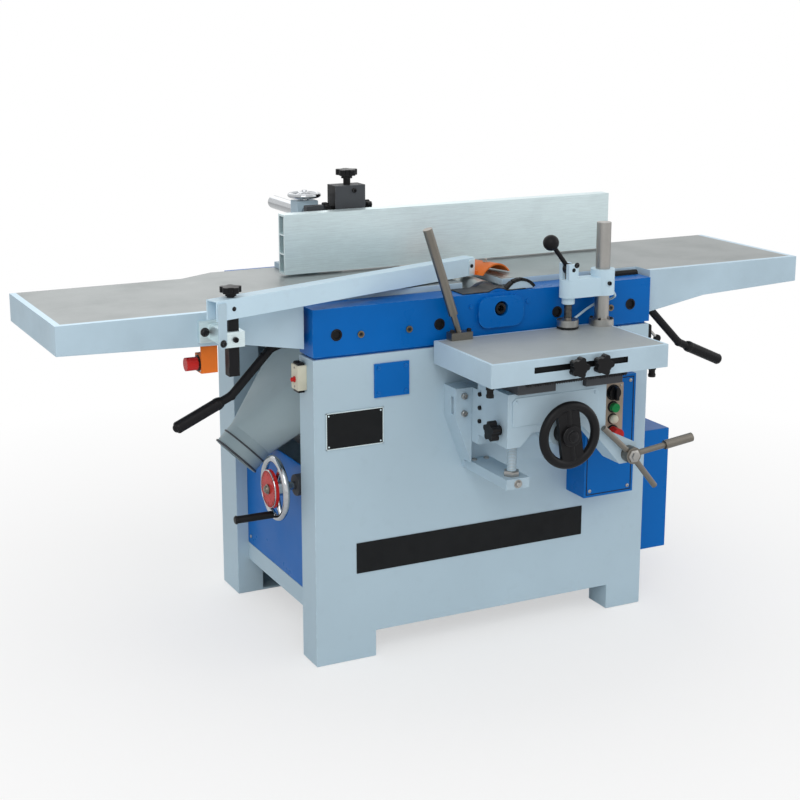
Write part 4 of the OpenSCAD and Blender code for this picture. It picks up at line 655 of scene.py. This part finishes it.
def split_finishes():
    """Painted sides, black grips, black painted shade in the mortise slot and in the cutter's bore, and the like, on
    nodes of more than one finish.
    """
    level, skin = 0.7, 1
    for table in ("outfeed_table", "infeed_table", "mortise_table"):
        second_finish(table, "light_casting", lambda c, n: n.z < level)
    low, high = box("mortise_table")
    second_finish("mortise_table", "mortise_iron", lambda c, n: n.z > level and c.z > high.z - skin)

    def in_shaded_slot(c, n):
        """In the slot along the front of the mortise table, whose faces are painted black as the shade inside it."""
        return 0.5 < c.y - low.y < 30 and 12 < high.z - c.z < 34 and -60 < c.x < 210

    def on_crank_grip(c, n):
        """On the grip of the lift wheel's crank."""
        return c.x < -530 and (c.yz - Vector((centre("lift_dial").y, CRANK_Z))).length < 16

    def on_side_knob(c, n):
        """On one of the knobs at the sides of the carriage."""
        return c.y > 88 and c.z > 990 and 40.5 < abs(c.x - CARRIAGE_X) < 68

    # The faces of the slot are painted black as the shade in the slot
    second_finish("mortise_table", "black_plate", in_shaded_slot)
    second_finish("lift_handwheel", "black_plastic", on_crank_grip)
    second_finish("fence_carriage", "black_plastic", on_side_knob)
    second_finish("mortiser_knee", "black_plastic", lambda c, n: c.x < KNEE_LEFT - skin / 2)
    cap_reach, shaded_nose_back, shaded_bearing_front, spindle_top = 90, -290, -200, 790
    second_finish("cheek_bolts", "blue_casting", lambda c, n: abs(c.x - CUTTER_X) < cap_reach)
    # The front ends of the cutterblock and its bearing are painted black as the shade inside the bore of the bearing
    # cap
    second_finish("cutterblock", "black_steel", lambda c, n: c.y < shaded_nose_back)
    second_finish("cutter_bearings", "black_steel", lambda c, n: c.y < shaded_bearing_front)
    second_finish("clamp_spindle", "oiled_steel", lambda c, n: c.z > spindle_top)


class PLANER_OT_finishes(bpy.types.Operator):
    """Give every node of the machine its finish and its eased edges"""

    bl_idname = "planer.finishes"
    bl_label = "Finishes"

    def execute(self, context):
        slots = {n["node"]: n["material_slot"] for n in frame["record"]["subparts"]}
        for name, node in frame["nodes"].items():
            node.data.materials.clear()
            node.data.materials.append(finish(slots[name]))
            edge = "sheet" if name in SHEET_NODES else "cast" if name in CAST_NODES else "fine"
            ease(node, size(edge + "_edge"))
        for node, finish_name in WHOLE_NODES.items():
            second_finish(node, finish_name)
        split_finishes()
        return {"FINISHED"}


def add_motor_cover_trim():
    """Screws in the flanges and two columns of louvres in the end."""
    low, high = box("motor_cover")
    flange, width = 14, 110
    heights = tuple(low.z + share * (high.z - low.z) for share in (0.12, 0.5, 0.88))
    screws = Shape()
    for side, face in ((-Y, low.y), (Y, high.y)):
        screws.pan_screw(grid(low.x + flange, face, heights), side)
    screws.piece("motor_cover_screws", "steel")
    starts = tuple(low.y + share * (high.y - low.y) + width for share in (0.16, 0.56))
    places = grid(high.x, starts, steps(first=low.z + 70, pitch=28, count=7))
    louvres = Shape().plate(LOUVRE, places, X, Z, width)
    ease(louvres.piece("motor_cover_louvres", "blue_paint"), 1)


def add_plate_frame():
    """A raised bright rim and rivets round the bare nameplate."""
    low, high = box("front_plates")
    wide, tall, inset = 145, 87, 7
    left, right, bottom, top = low.x, low.x + wide, high.z - tall, high.z
    rim = Shape().four_bars(left, right, bottom, top, low.y, rise=0.8)
    rim.turned(RIVET, grid(within(left, right, inset), low.y, within(bottom, top, inset)), -Y, 16)
    rim.piece("nameplate_rim", "aluminium")


def add_motor_fins():
    """Cooling fins round the motor's shell."""
    low, high = box("motor")
    pulley = centre("motor_pulley")
    shell, count, bare_end = 77.2, 26, 45
    axis = Vector((pulley.x, low.y + bare_end, pulley.z))
    fins = Shape()
    for x, z in (polar(1, turn) for turn in turns(count)):
        out, side = Vector((x, 0, z)), Vector((-z, 0, x))
        fins.plate(MOTOR_FIN, axis + out * shell, side, out, high.y - low.y - 2 * bare_end)
    fins.piece("motor_fins", "grey_casting")


def add_back_trim():
    """A service cover on the rear panel, and the screws of the belt cover."""
    face = box("base_rear_panel")[1].y
    wide, tall, radius, height, thick, inset = 300, 200, 30, 420, 2, 22
    outline = []
    for a, b, start in ((1, 1, 0), (-1, 1, 90), (-1, -1, 180), (1, -1, 270)):
        for turn in steps(start, pitch=18, count=6):
            x, z = polar(radius, math.radians(turn))
            outline.append((a * (wide - radius) + x, b * (tall - radius) + z))
    cover = Shape().plate(outline, (0, face, height), -X, Z, thick)
    ease(cover.piece("rear_service_cover", "light_paint"), 0.6)
    heights = (height - tall + inset, height, height + tall - inset)
    screws = Shape().pan_screw(grid(within(-wide, wide, inset), face + thick, heights), Y)
    screws.pan_screw(corners("drive_cover", Y, inset=16), Y).piece("rear_screws", "steel")


class PLANER_OT_base_trim(bpy.types.Operator):
    """Add the screws, louvres and plate frame of the base"""

    bl_idname = "planer.base_trim"
    bl_label = "Base trim"

    def execute(self, context):
        Shape().pan_screw(corners("end_panels", -X, inset=22), -X).piece("end_panel_screws", "steel")
        add_motor_cover_trim()
        add_plate_frame()
        add_motor_fins()
        add_back_trim()
        return {"FINISHED"}


def brass_bolts(reach=20):
    """The middle of the front of each brass bolt on the front cheek, found from its points."""
    points = [v.co / MM for v in frame["nodes"]["cheek_bolts"].data.vertices if v.co.y < 0]
    found = []
    for x in BRASS_BOLTS_NEAR_X:
        near = [p for p in points if abs(p.x - x) < reach]
        middle = sum(near, Vector()) / len(near)
        found.append((middle.x, min(p.y for p in near), middle.z))
    return found


def add_shaded_cover_plate():
    """A thin plate on the front cheek, bent over the bearing's hump; its black is partly its own colour and partly
    painted shade under the guard beam.
    """
    hump, flat, thick, front, deep = 45.6, 856.5, 2, -306, 66
    under = []
    for x in steps(first=-70, pitch=5, count=35):
        rise = math.sqrt(max(0, hump ** 2 - (x - CUTTER_X) ** 2))
        under.append((x, max(flat, CUTTER_Z + rise)))
    over = [(x, z + thick) for x, z in reversed(under)]
    cover = Shape().plate(under + over, (0, front, 0), X, Z, -deep)
    ease(cover.piece("cheek_cover_plate", "black_steel"), 0.6)


def add_nose_highlight_and_shadow():
    """A light crescent, a painted highlight of the cheek's lit blue top, under a slotted black strip that stands in
    for the shadow in the cutter opening's gap, beside the bearing's hump.
    """
    x, z, radius, flat, clear, thick = 87, 833, 43, 22.5, 0.2, 7
    first, span, parts, cuts, gap = 35, 110, 4, 4, math.radians(1.6)
    arc = [math.radians(turn) for turn in steps(first, span / (parts * cuts), parts * cuts + 1)]
    highlight_outline = [(a, max(b, flat)) for a, b in (polar(radius, t) for t in arc)]
    # The light crescent is a painted highlight: it stands for the bright top of the blue cheek
    Shape().plate(highlight_outline, (x, -304, z), X, Z, -12).piece("nose_crescent", "light_paint")
    # The black strip is the painted shadow of the gap round the cutter opening
    strip = Shape()
    for start in range(0, parts * cuts, cuts):
        part = arc[start: start + cuts + 1]
        part = [part[0] + gap, *part[1:-1], part[-1] - gap]
        outer = [polar(radius + thick, t) for t in part]
        inner = [polar(radius + clear, t) for t in reversed(part)]
        strip.plate(outer + inner, (x, -306, z), X, Z, -14)
    strip.piece("nose_strip", "rubber")


def add_lips():
    """Steel lips with comb slots and countersunk screws at the cutterblock."""
    start, long, sunk, thick, screw_in = -222, 318, 0.2, 0.6, 23
    deep, wide, slant = 11, 10, 1
    outline = [(0, 0)]
    for y in steps(first=12, pitch=20, count=15):
        outline += [(0, y), (deep, y + slant), (deep, y + wide - slant), (0, y + wide)]
    outline += [(0, long), (size("lip"), long), (size("lip"), 0)]
    for table, side in (("outfeed_table", -1), ("infeed_table", 1)):
        low, high = box(table)
        edge = high.x if side < 0 else low.x
        comb = Shape().plate([(side * a, b) for a, b in outline], (edge, start, high.z - sunk), X, Y, thick)
        places = grid(edge + side * screw_in, steps(first=-200, pitch=68, count=5), high.z + thick / 2)
        comb.turned(LIP_SCREW, places, Z, 20).piece(table + "_lip", "steel", table)


class PLANER_OT_casting_trim(bpy.types.Operator):
    """Add the black plugs and strips that stand in for shade in the bores and gaps, the cover plates of the casting
    and the table lips
    """

    bl_idname = "planer.casting_trim"
    bl_label = "Casting trim"

    def execute(self, context):
        # Black plugs in the four bores of the front cheek stand in for the shade inside the open holes
        shade_plugs = grid(BORES_X, box("base_front_panel")[0].y, BORES_Z)
        Shape().turned(BORE_SHADE_PLUG, shade_plugs, -Y).piece("bore_plugs", "black_plastic")
        add_shaded_cover_plate()
        # A black rubber strip stands in for the shade in the gap behind the front cheek, beside the infeed table
        shade_strip_place, shade_strip_length = (318, -262, 856.2), 134
        Shape().plate(GAP_SHADE_STRIP, shade_strip_place, Y, Z, shade_strip_length).piece("cheek_seal_strip", "rubber")
        Shape().turned(BOLT_SOCKET, brass_bolts(), -Y, 6).piece("cheek_bolt_sockets", "black_steel")
        add_nose_highlight_and_shadow()
        add_lips()
        return {"FINISHED"}


class PLANER_OT_lever_trim(bpy.types.Operator):
    """Add the necks and end caps of the table levers' grips"""

    bl_idname = "planer.lever_trim"
    bl_label = "Lever trim"

    def execute(self, context):
        cap_in, neck_in = 3, 99
        for body, side in (("outfeed_lever", -1), ("infeed_lever", 1)):
            tip = Vector((side * LEVER_TIP_X, LEVER_TIP_Y, LEVER_TIP_Z))
            way = Vector((-side * 0.91, 0, 0.4145)).normalized()
            grip = Shape().turned(GRIP_CAP, tip + way * cap_in, -way, 32)
            grip.turned(GRIP_NECK, tip + way * neck_in, way, 32)
            grip.piece(body + "_grip_ends", "black_plastic", body)
        return {"FINISHED"}


def add_beam_trim(place):
    """The beam's fittings, along X from its pivot, whose place is given."""
    face, end, tab_thick, end_thick, side_thick = -18, 735, 3, 2, 1.5
    tab = Shape(place).plate(GUARD_TAB, (0, face, 0), X, Z, tab_thick)
    ease(tab.piece("guard_tab", "light_paint", "guard_beam"), 0.8)
    bolts = Shape(place).pan_screw((-6, face, 22), -Y, 5).hex_bolt((-39, face - tab_thick, -48), -Y, 6)
    bolts.piece("guard_bolts", "black_steel", "guard_beam")
    plate = Shape(place).plate(BEAM_END, (end, 0, 0), Y, Z, end_thick)
    plate.plate(BEAM_SIDE, (0, face, 0), X, Z, side_thick)
    ease(plate.piece("guard_end_plate", "aluminium", "guard_beam"), 0.5)
    screw = Shape(place).pan_screw((725.5, face - side_thick, 24), -Y, 4.8)
    screw.piece("guard_end_screw", "black_steel", "guard_beam")
    stud = Shape(place).turned(HOOD_STUD, (end + 58, -4, 24), Z, 20)
    stud.piece("guard_hood_stud", "steel", "guard_beam")


class PLANER_OT_guard_trim(bpy.types.Operator):
    """Add the tab, end plate, bolts and studs of the cutter guard"""

    bl_idname = "planer.guard_trim"
    bl_label = "Guard trim"

    def execute(self, context):
        post = centre("guard_post")
        pivot = Matrix.Translation((post.x, post.y, box("guard_beam")[0].z))
        add_beam_trim(pivot @ Matrix.Rotation(math.radians(GUARD_DEGREES), 4, "Z"))
        low, high = box("guard_bracket")
        inset, height, flange = 12, low.z + 24, box("outfeed_table")[0].y - 12
        clamp = Shape().hex_bolt(grid(within(low.x, high.x, inset), flange, height), -Y)
        clamp.socket_screw((post.x, low.y, height), -Y, 6)
        clamp.piece("guard_bracket_bolts", "black_steel", "outfeed_table")
        return {"FINISHED"}


def add_carriage_trim():
    """Cap screws and the lobes of the two side knobs."""
    screws = Shape().socket_screw((CARRIAGE_X + 10, 84, 1062), -Y, 5.5)
    screws.socket_screw(grid((-205, -151), box("fence_carriage")[1].y, (985, 1045)), Y, 6)
    screws.piece("carriage_screws", "black_steel", "fence_carriage")
    lobes, reach, swell, points, thick, out = 5, 16.5, 2.8, 30, 14, 65
    outline = [polar(reach + swell * math.cos(lobes * t), t) for t in turns(points)]
    knobs = Shape()
    for side in (1, -1):
        knobs.plate(outline, (CARRIAGE_X - side * out, 108, 1015), Y, Z, thick * side)
    ease(knobs.piece("fence_side_knob_lobes", "black_plastic", "fence_carriage"), 2.5)


class PLANER_OT_fence_trim(bpy.types.Operator):
    """Add the bolts, knob lobes and caps of the fence"""

    bl_idname = "planer.fence_trim"
    bl_label = "Fence trim"

    def execute(self, context):
        low, high = box("fence_pedestal")
        inset, foot = 20, 14
        places = grid(within(low.x, high.x, inset), (high.y - inset, low.y + 18), low.z + foot)
        Shape().hex_bolt(places, Z).piece("pedestal_bolts", "steel", "outfeed_table")
        add_carriage_trim()
        bar, end = centre("fence_bar"), box("fence_bar")[1].y
        Shape().turned(BAR_CAP, (bar.x, end, bar.z), Y, 32).piece("fence_bar_cap", "steel", "fence_carriage")
        wheel, top, sunk = centre("fence_lock_wheel"), box("fence_lock_wheel")[1].z, 6
        hub = Shape().turned(LOCK_HUB, (wheel.x, wheel.y, top - sunk), Z)
        hub.piece("lock_wheel_hub", "chrome", "fence_lock_wheel")
        return {"FINISHED"}


class PLANER_OT_hood_trim(bpy.types.Operator):
    """Add the beads and screws of the dust hood"""

    bl_idname = "planer.hood_trim"
    bl_label = "Hood trim"

    def execute(self, context):
        axis, radius = Vector((-1, 0, -1)).normalized(), 60.5
        beads = Shape()
        for back, thick in ((3, 2.8), (34, 2.2)):
            beads.ring(HOOD_MOUTH - axis * back, axis, radius, thick, 56, 10)
        beads.piece("collar_beads", "grey_casting", "dust_hood")
        low, high = box("dust_hood")
        screws = Shape()
        for side, face in ((-Y, low.y), (Y, high.y)):
            screws.pan_screw(grid((-340, -200, -80), face, 640), side)
        screws.piece("hood_screws", "steel", "dust_hood")
        return {"FINISHED"}


class PLANER_OT_lift_trim(bpy.types.Operator):
    """Add the dial marks, boss and crank cap of the lift handwheel"""

    bl_idname = "planer.lift_trim"
    bl_label = "Lift trim"

    def execute(self, context):
        low, high = box("lift_dial")
        radius, middle = (high.y - low.y) / 2, centre("lift_dial")
        face = Vector((low.x, middle.y, middle.z))
        count, every, half, inset, thick = 40, 5, 0.9, 2, 0.4
        marks = Shape()
        for i, (y, z) in enumerate(polar(1, turn) for turn in turns(count)):
            out, side = Vector((0, y, z)), Vector((0, -z, y))
            reach = 6 if i % every else 11
            outline = [(-half, -reach), (half, -reach), (half, 0), (-half, 0)]
            marks.plate(outline, face + out * (radius - inset), side, out, -thick)
        marks.piece("dial_marks", "black_plate", "lift_handwheel")
        Shape().turned(DIAL_BOSS, face, -X, 32).piece("dial_boss", "oiled_steel", "lift_handwheel")
        rim = Shape().ring(face + X * 0.8, X, radius - 1, 1.6, 48, 8)
        rim.piece("dial_rim", "chrome", "lift_handwheel")
        cap = Shape().turned(CRANK_CAP, (box("lift_handwheel")[0].x, middle.y, CRANK_Z), -X, 24)
        cap.piece("crank_cap", "black_plastic", "lift_handwheel")
        return {"FINISHED"}


def add_bracket_bolts():
    """Bolts of the wall bracket, and the nut and thread of the lift screw."""
    x, y = LIFT_SCREW
    cheek, toe, shelf = -372, box("mortiser_bracket")[0].y, 464
    bolts = Shape().socket_screw(grid(-101, cheek, (632, 590)), -Y)
    bolts.socket_screw(grid(199, cheek, (604, 566)), -Y)
    bolts.hex_bolt((x, toe, 452), -Y)
    bolts.pan_screw(grid((x - 17, x + 16), -345, shelf), Z, size("bolt")).piece("bracket_bolts", "steel")
    nut = Shape().turned(SCREW_NUT, (x, y, shelf), Z, 6, closed=True)
    nut.ring(grid(x, y, steps(first=482, pitch=3.5, count=16)), Z, 10.6, 0.7, 24, 6)
    nut.piece("lift_screw_thread", "steel")


def add_knee_trim():
    """Gib screws and a front cover on the knee."""
    gibs = Shape().socket_screw(grid(KNEE_LEFT, -416, (580, 612, 644)), -X, 5.2)
    gibs.piece("knee_gib_screws", "black_steel", "mortiser_knee")
    thick, height = 2.5, 575
    cover = Shape().plate(KNEE_COVER, (0, KNEE_FRONT, height), X, Z, thick)
    cover.pan_screw(grid((-60, 148), KNEE_FRONT - thick, height + 77), -Y, 4)
    ease(cover.piece("knee_front_cover", "light_casting", "mortiser_knee"), 0.8)


def add_table_trim():
    """A rack and buffers under the mortise table, and the screws of the push rod."""
    low, high = box("mortise_table")
    pitch, count, root, back, wide, flange = 6.3, 42, 4, 11, 12, 18
    outline = [(0, back)]
    for x in steps(0, pitch, count):
        outline += [(x, root), (x + 1.8, 0), (x + 3.4, 0), (x + 5.2, root)]
    outline += [(count * pitch, root), (count * pitch, back)]
    rack = Shape().plate(outline, (low.x + 100, low.y + 26, low.z - back), X, Z, wide)
    rack.piece("traverse_rack", "black_steel", "mortise_table")
    pads = Shape().turned(BUFFER, grid((low.x + 20, high.x - 16), low.y + 40, low.z), -Z, 24)
    pads.piece("table_buffers", "rubber", "mortise_table")
    bolts = Shape().socket_screw(grid((-116, -72), -340, high.z + flange), Z, 5.5)
    bolts.piece("push_rod_screws", "black_steel", "mortise_table")


class PLANER_OT_mortiser_trim(bpy.types.Operator):
    """Add the bolts, rack, buffers and nuts of the mortiser"""

    bl_idname = "planer.mortiser_trim"
    bl_label = "Mortiser trim"

    def execute(self, context):
        add_bracket_bolts()
        add_knee_trim()
        add_table_trim()
        for node, name, (x, z), profile, finish_name, sides in (
            ("height_handwheel", "height_wheel_nut", WHEEL_AXIS, WHEEL_NUT, "black_steel", 28),
            ("cross_lever", "cross_lever_nut", CROSS_AXIS, CROSS_NUT, "steel", 6),
        ):
            Shape().turned(profile, (x, box(node)[0].y, z), -Y, sides).piece(name, finish_name, node)
        return {"FINISHED"}


def add_spindle_trim():
    """A rubber pad ring, the thread, and the sleeve under the arm."""
    (x, y), foot = centre("clamp_spindle").xy, box("clamp_spindle")[0].z
    pad = Shape().collar((x, y, foot), Z, inner=12, outer=26.5, height=5, sides=40)
    pad.piece("spindle_pad_ring", "rubber", "clamp_spindle")
    thread = Shape().ring(grid(x, y, steps(first=foot + 26, pitch=3.2, count=14)), Z, 8.8, 1, 24, 6)
    thread.piece("spindle_thread", "black_steel", "clamp_spindle")
    sleeve_top = box("clamp_arm")[0].z + 0.5
    sleeve = Shape().collar((x, y, sleeve_top), -Z, inner=10.5, outer=15.5, height=17)
    sleeve.piece("spindle_sleeve", "pale_paint", "clamp_arm")


class PLANER_OT_clamp_trim(bpy.types.Operator):
    """Add the wire guard, foot screws, pad and thread of the clamp"""

    bl_idname = "planer.clamp_trim"
    bl_label = "Clamp trim"

    def execute(self, context):
        Shape().wire(WIRE_ROUTE, size("wire")).piece("clamp_wire_guard", "light_paint", "clamp_arm")
        circle, foot_top = 24.5, 776
        square = [polar(circle, turn + math.pi / 4) for turn in turns(4)]
        screws = Shape().socket_screw([(COLUMN_X + x, COLUMN_Y + y, foot_top) for x, y in square], Z, 3.6)
        screws.piece("column_foot_screws", "black_steel", "mortise_table")
        add_spindle_trim()
        low, high = box("clamp_arm")
        pins = Shape().hex_bolt((low.x + 30, low.y + 7, 915), -Y, 5)
        pins.socket_screw((high.x - 29, low.y, low.z + 30), -Y, 5)
        pins.piece("clamp_arm_screws", "black_steel", "clamp_arm")
        return {"FINISHED"}


def add_control_trim():
    """The lid's seam, the screws, and the bezels round the buttons."""
    low, high = box("control_box")
    seam, inset, plate_thick = 6, 7, 3
    lid = Shape().four_bars(*within(low.x, high.x, seam), *within(low.z, high.z, seam), low.y, rise=0.6)
    lid.piece("control_lid_seam", "black_plate")
    screws = Shape().pan_screw(corners("control_box", -Y, inset=16), -Y)
    face, (low, high) = low.y - plate_thick, box("switch_plate")
    places = grid(within(low.x, high.x, inset), face, within(low.z, high.z, inset))
    screws.pan_screw(places, -Y, 3).piece("control_screws", "steel")
    rings = Shape()
    for z, inner, outer in ((600, 16.4, 19.5), (564, 11.4, 14.5), (LAMP_Z, 9.5, 13.5), (500, 15.4, 18.5)):
        rings.collar((BUTTONS_X, face, z), -Y, inner, outer, height=3)
    rings.piece("button_bezels", "black_plastic")
    Shape().turned(LAMP_LENS, (BUTTONS_X, low.y, LAMP_Z), -Y).piece("lamp_lens", "ivory_plastic")


def add_limit_trim():
    """The plunger, mounting strips and cover screws of the limit switch."""
    low, high = box("limit_switch")
    middle, strip, wide = centre("limit_switch").y, 6, 28
    Shape().turned(PLUNGER, (low.x, middle, low.z + 24), -X, 20).piece("limit_plunger", "red_plastic")
    places = grid(low.x + 3, high.y - 5, (low.z - strip, high.z))
    Shape().plate(LIMIT_STRIP, places, X, Z, wide).piece("limit_mounts", "black_plastic")
    screws = Shape().pan_screw(grid(low.x, middle, within(low.z, high.z, 7)), -X, 2.8)
    screws.piece("limit_screws", "steel")


def add_second_switch():
    """A switch with a roller arm on the right end of the base."""
    wall, y = box("base_front_panel")[1].x, -285
    pivot, roller = Vector((wall + 16, y, 722)), Vector((wall + 46, y, 692))
    second = Shape().plate(LIMIT_BODY, (wall, y + 15, 696), X, Z, 30)
    second.turned(ROLLER, roller + Y * 5, -Y, 24)
    ease(second.piece("infeed_limit_switch", "black_plastic"), 0.8)
    reach, radius, ease_out = (roller - pivot).length, 3.6, 0.72
    profile = [(radius - ease_out, 0), (radius, ease_out), (radius, reach - ease_out), (radius - ease_out, reach)]
    arm = Shape().turned(profile, pivot, roller - pivot, 16)
    arm.hex_bolt((wall + 18, y, 715), X, 6.2).piece("infeed_limit_arm", "steel")


class PLANER_OT_switch_trim(bpy.types.Operator):
    """Add the bezels, lids, screws and plunger of the switches"""

    bl_idname = "planer.switch_trim"
    bl_label = "Switch trim"

    def execute(self, context):
        add_control_trim()
        low, high = box("switch_box")
        inset = 6
        screws = Shape().pan_screw(grid(low.x, within(low.y, high.y, inset), low.z + inset), -X, 2.8)
        screws.piece("switch_box_screws", "steel", "outfeed_table")
        bezel = Shape().collar((low.x, -260, 751), -X, inner=15.4, outer=18.5, height=2.6)
        bezel.piece("switch_box_bezel", "black_plastic", "outfeed_table")
        add_limit_trim()
        add_second_switch()
        return {"FINISHED"}


def floor_material(settings):
    """A pale floor that turns white away from the machine, for the camera only."""
    made = Finish("studio_floor", Roughness=0.9)
    tint = tuple(settings.floor)
    mottle = made.tones(made.noise(0.8, 2.0), scaled(tint, 0.99), tint)
    made.fill(made.shader, Base_Color=mottle)
    white, ray = made.node("ShaderNodeEmission"), made.node("ShaderNodeLightPath")
    span = linked(made.tree, "ShaderNodeVectorMath", made.place)
    span.operation = "LENGTH"
    near, far, near_white = 0.7, 2.2, 0.55
    share = made.spread(span.outputs["Value"], near, far, near_white)
    share = made.product(share, ray.outputs["Is Camera Ray"])
    mix_surfaces(made.tree, share, made.shader, white, made.nodes["Material Output"])
    return made.material


def add_sky(scene, settings):
    """An even sky that is white to the camera and in reflections."""
    world = bpy.data.worlds.new("studio_sky")
    world.use_nodes = True
    tree = world.node_tree
    soft, white = tree.nodes["Background"], tree.nodes.new("ShaderNodeBackground")
    for sky, strength in ((soft, settings.sky), (white, 1.0)):
        sky.inputs["Color"].default_value = (1, 1, 1, 1)
        sky.inputs["Strength"].default_value = strength
    ray = tree.nodes.new("ShaderNodeLightPath")
    seen = ray.outputs["Is Camera Ray"]
    for kind in ("Is Glossy Ray", "Is Transmission Ray"):
        seen = math_node(tree, "MAXIMUM", seen, ray.outputs[kind])
    mix_surfaces(tree, seen, soft, white, tree.nodes["World Output"])
    scene.world = world


def add_lamp(scene, name, place, target, width, power):
    """A large soft lamp that looks at a point."""
    light = bpy.data.lights.new(name, "AREA")
    light.energy, light.size = power, width
    made = bpy.data.objects.new(name, light)
    made.location = place
    made.rotation_euler = (Vector(target) - Vector(place)).to_track_quat("-Z", "Y").to_euler()
    scene.collection.objects.link(made)


class PLANER_OT_stage(bpy.types.Operator):
    """Set up the floor, the light and the camera"""

    bl_idname = "planer.stage"
    bl_label = "Stage"

    def execute(self, context):
        scene, settings = context.scene, context.scene.planer_stage
        half, top, thick = 30000, -1, 1
        outline = rectangle(2 * half, 2 * half)
        mesh = Shape().plate(outline, (-half, -half, top - thick), X, Y, thick).mesh("studio_floor")
        mesh.materials.append(floor_material(settings))
        ground = bpy.data.objects.new("studio_floor", mesh)
        scene.collection.objects.link(ground)
        add_sky(scene, settings)
        for name, place, target, width, power in LAMPS:
            add_lamp(scene, name, place, target, width, getattr(settings, power))
        lens = bpy.data.cameras.new("photo_camera")
        lens.lens, lens.sensor_width, lens.shift_y = CAMERA_LENS, CAMERA_SENSOR, CAMERA_SHIFT
        camera = bpy.data.objects.new("photo_camera", lens)
        camera.location = CAMERA_PLACE
        camera.rotation_euler = (math.radians(CAMERA_PITCH), 0.0, math.radians(CAMERA_YAW))
        scene.collection.objects.link(camera)
        scene.camera = camera
        scene.view_settings.view_transform = "Standard"
        return {"FINISHED"}


class PLANER_PT_panel(bpy.types.Panel):
    """Lists the steps that dress the machine"""

    bl_label = "Planer thicknesser"
    bl_idname = "PLANER_PT_panel"
    bl_space_type = "VIEW_3D"
    bl_region_type = "UI"
    bl_category = "Planer"

    def draw(self, context):
        for step in STEPS:
            self.layout.operator(step.bl_idname)
        for group in (context.scene.planer_colours, context.scene.planer_sizes, context.scene.planer_stage):
            column = self.layout.column()
            for label in type(group).__annotations__:
                column.prop(group, label)


STEPS = (
    PLANER_OT_finishes,
    PLANER_OT_base_trim,
    PLANER_OT_casting_trim,
    PLANER_OT_lever_trim,
    PLANER_OT_guard_trim,
    PLANER_OT_fence_trim,
    PLANER_OT_hood_trim,
    PLANER_OT_lift_trim,
    PLANER_OT_mortiser_trim,
    PLANER_OT_clamp_trim,
    PLANER_OT_switch_trim,
    PLANER_OT_stage,
)
CLASSES = (PlanerColours, PlanerSizes, PlanerStage, *STEPS, PLANER_PT_panel)


def register():
    for made in CLASSES:
        bpy.utils.register_class(made)
    bpy.types.Scene.planer_colours = PointerProperty(type=PlanerColours)
    bpy.types.Scene.planer_sizes = PointerProperty(type=PlanerSizes)
    bpy.types.Scene.planer_stage = PointerProperty(type=PlanerStage)


def unregister():
    del bpy.types.Scene.planer_colours
    del bpy.types.Scene.planer_sizes
    del bpy.types.Scene.planer_stage
    for made in reversed(CLASSES):
        bpy.utils.unregister_class(made)


def main():
    register()
    bpy.ops.planer.finishes()
    bpy.ops.planer.base_trim()
    bpy.ops.planer.casting_trim()
    bpy.ops.planer.lever_trim()
    bpy.ops.planer.guard_trim()
    bpy.ops.planer.fence_trim()
    bpy.ops.planer.hood_trim()
    bpy.ops.planer.lift_trim()
    bpy.ops.planer.mortiser_trim()
    bpy.ops.planer.clamp_trim()
    bpy.ops.planer.switch_trim()
    bpy.ops.planer.stage()


if __name__ == "__main__":
    main()
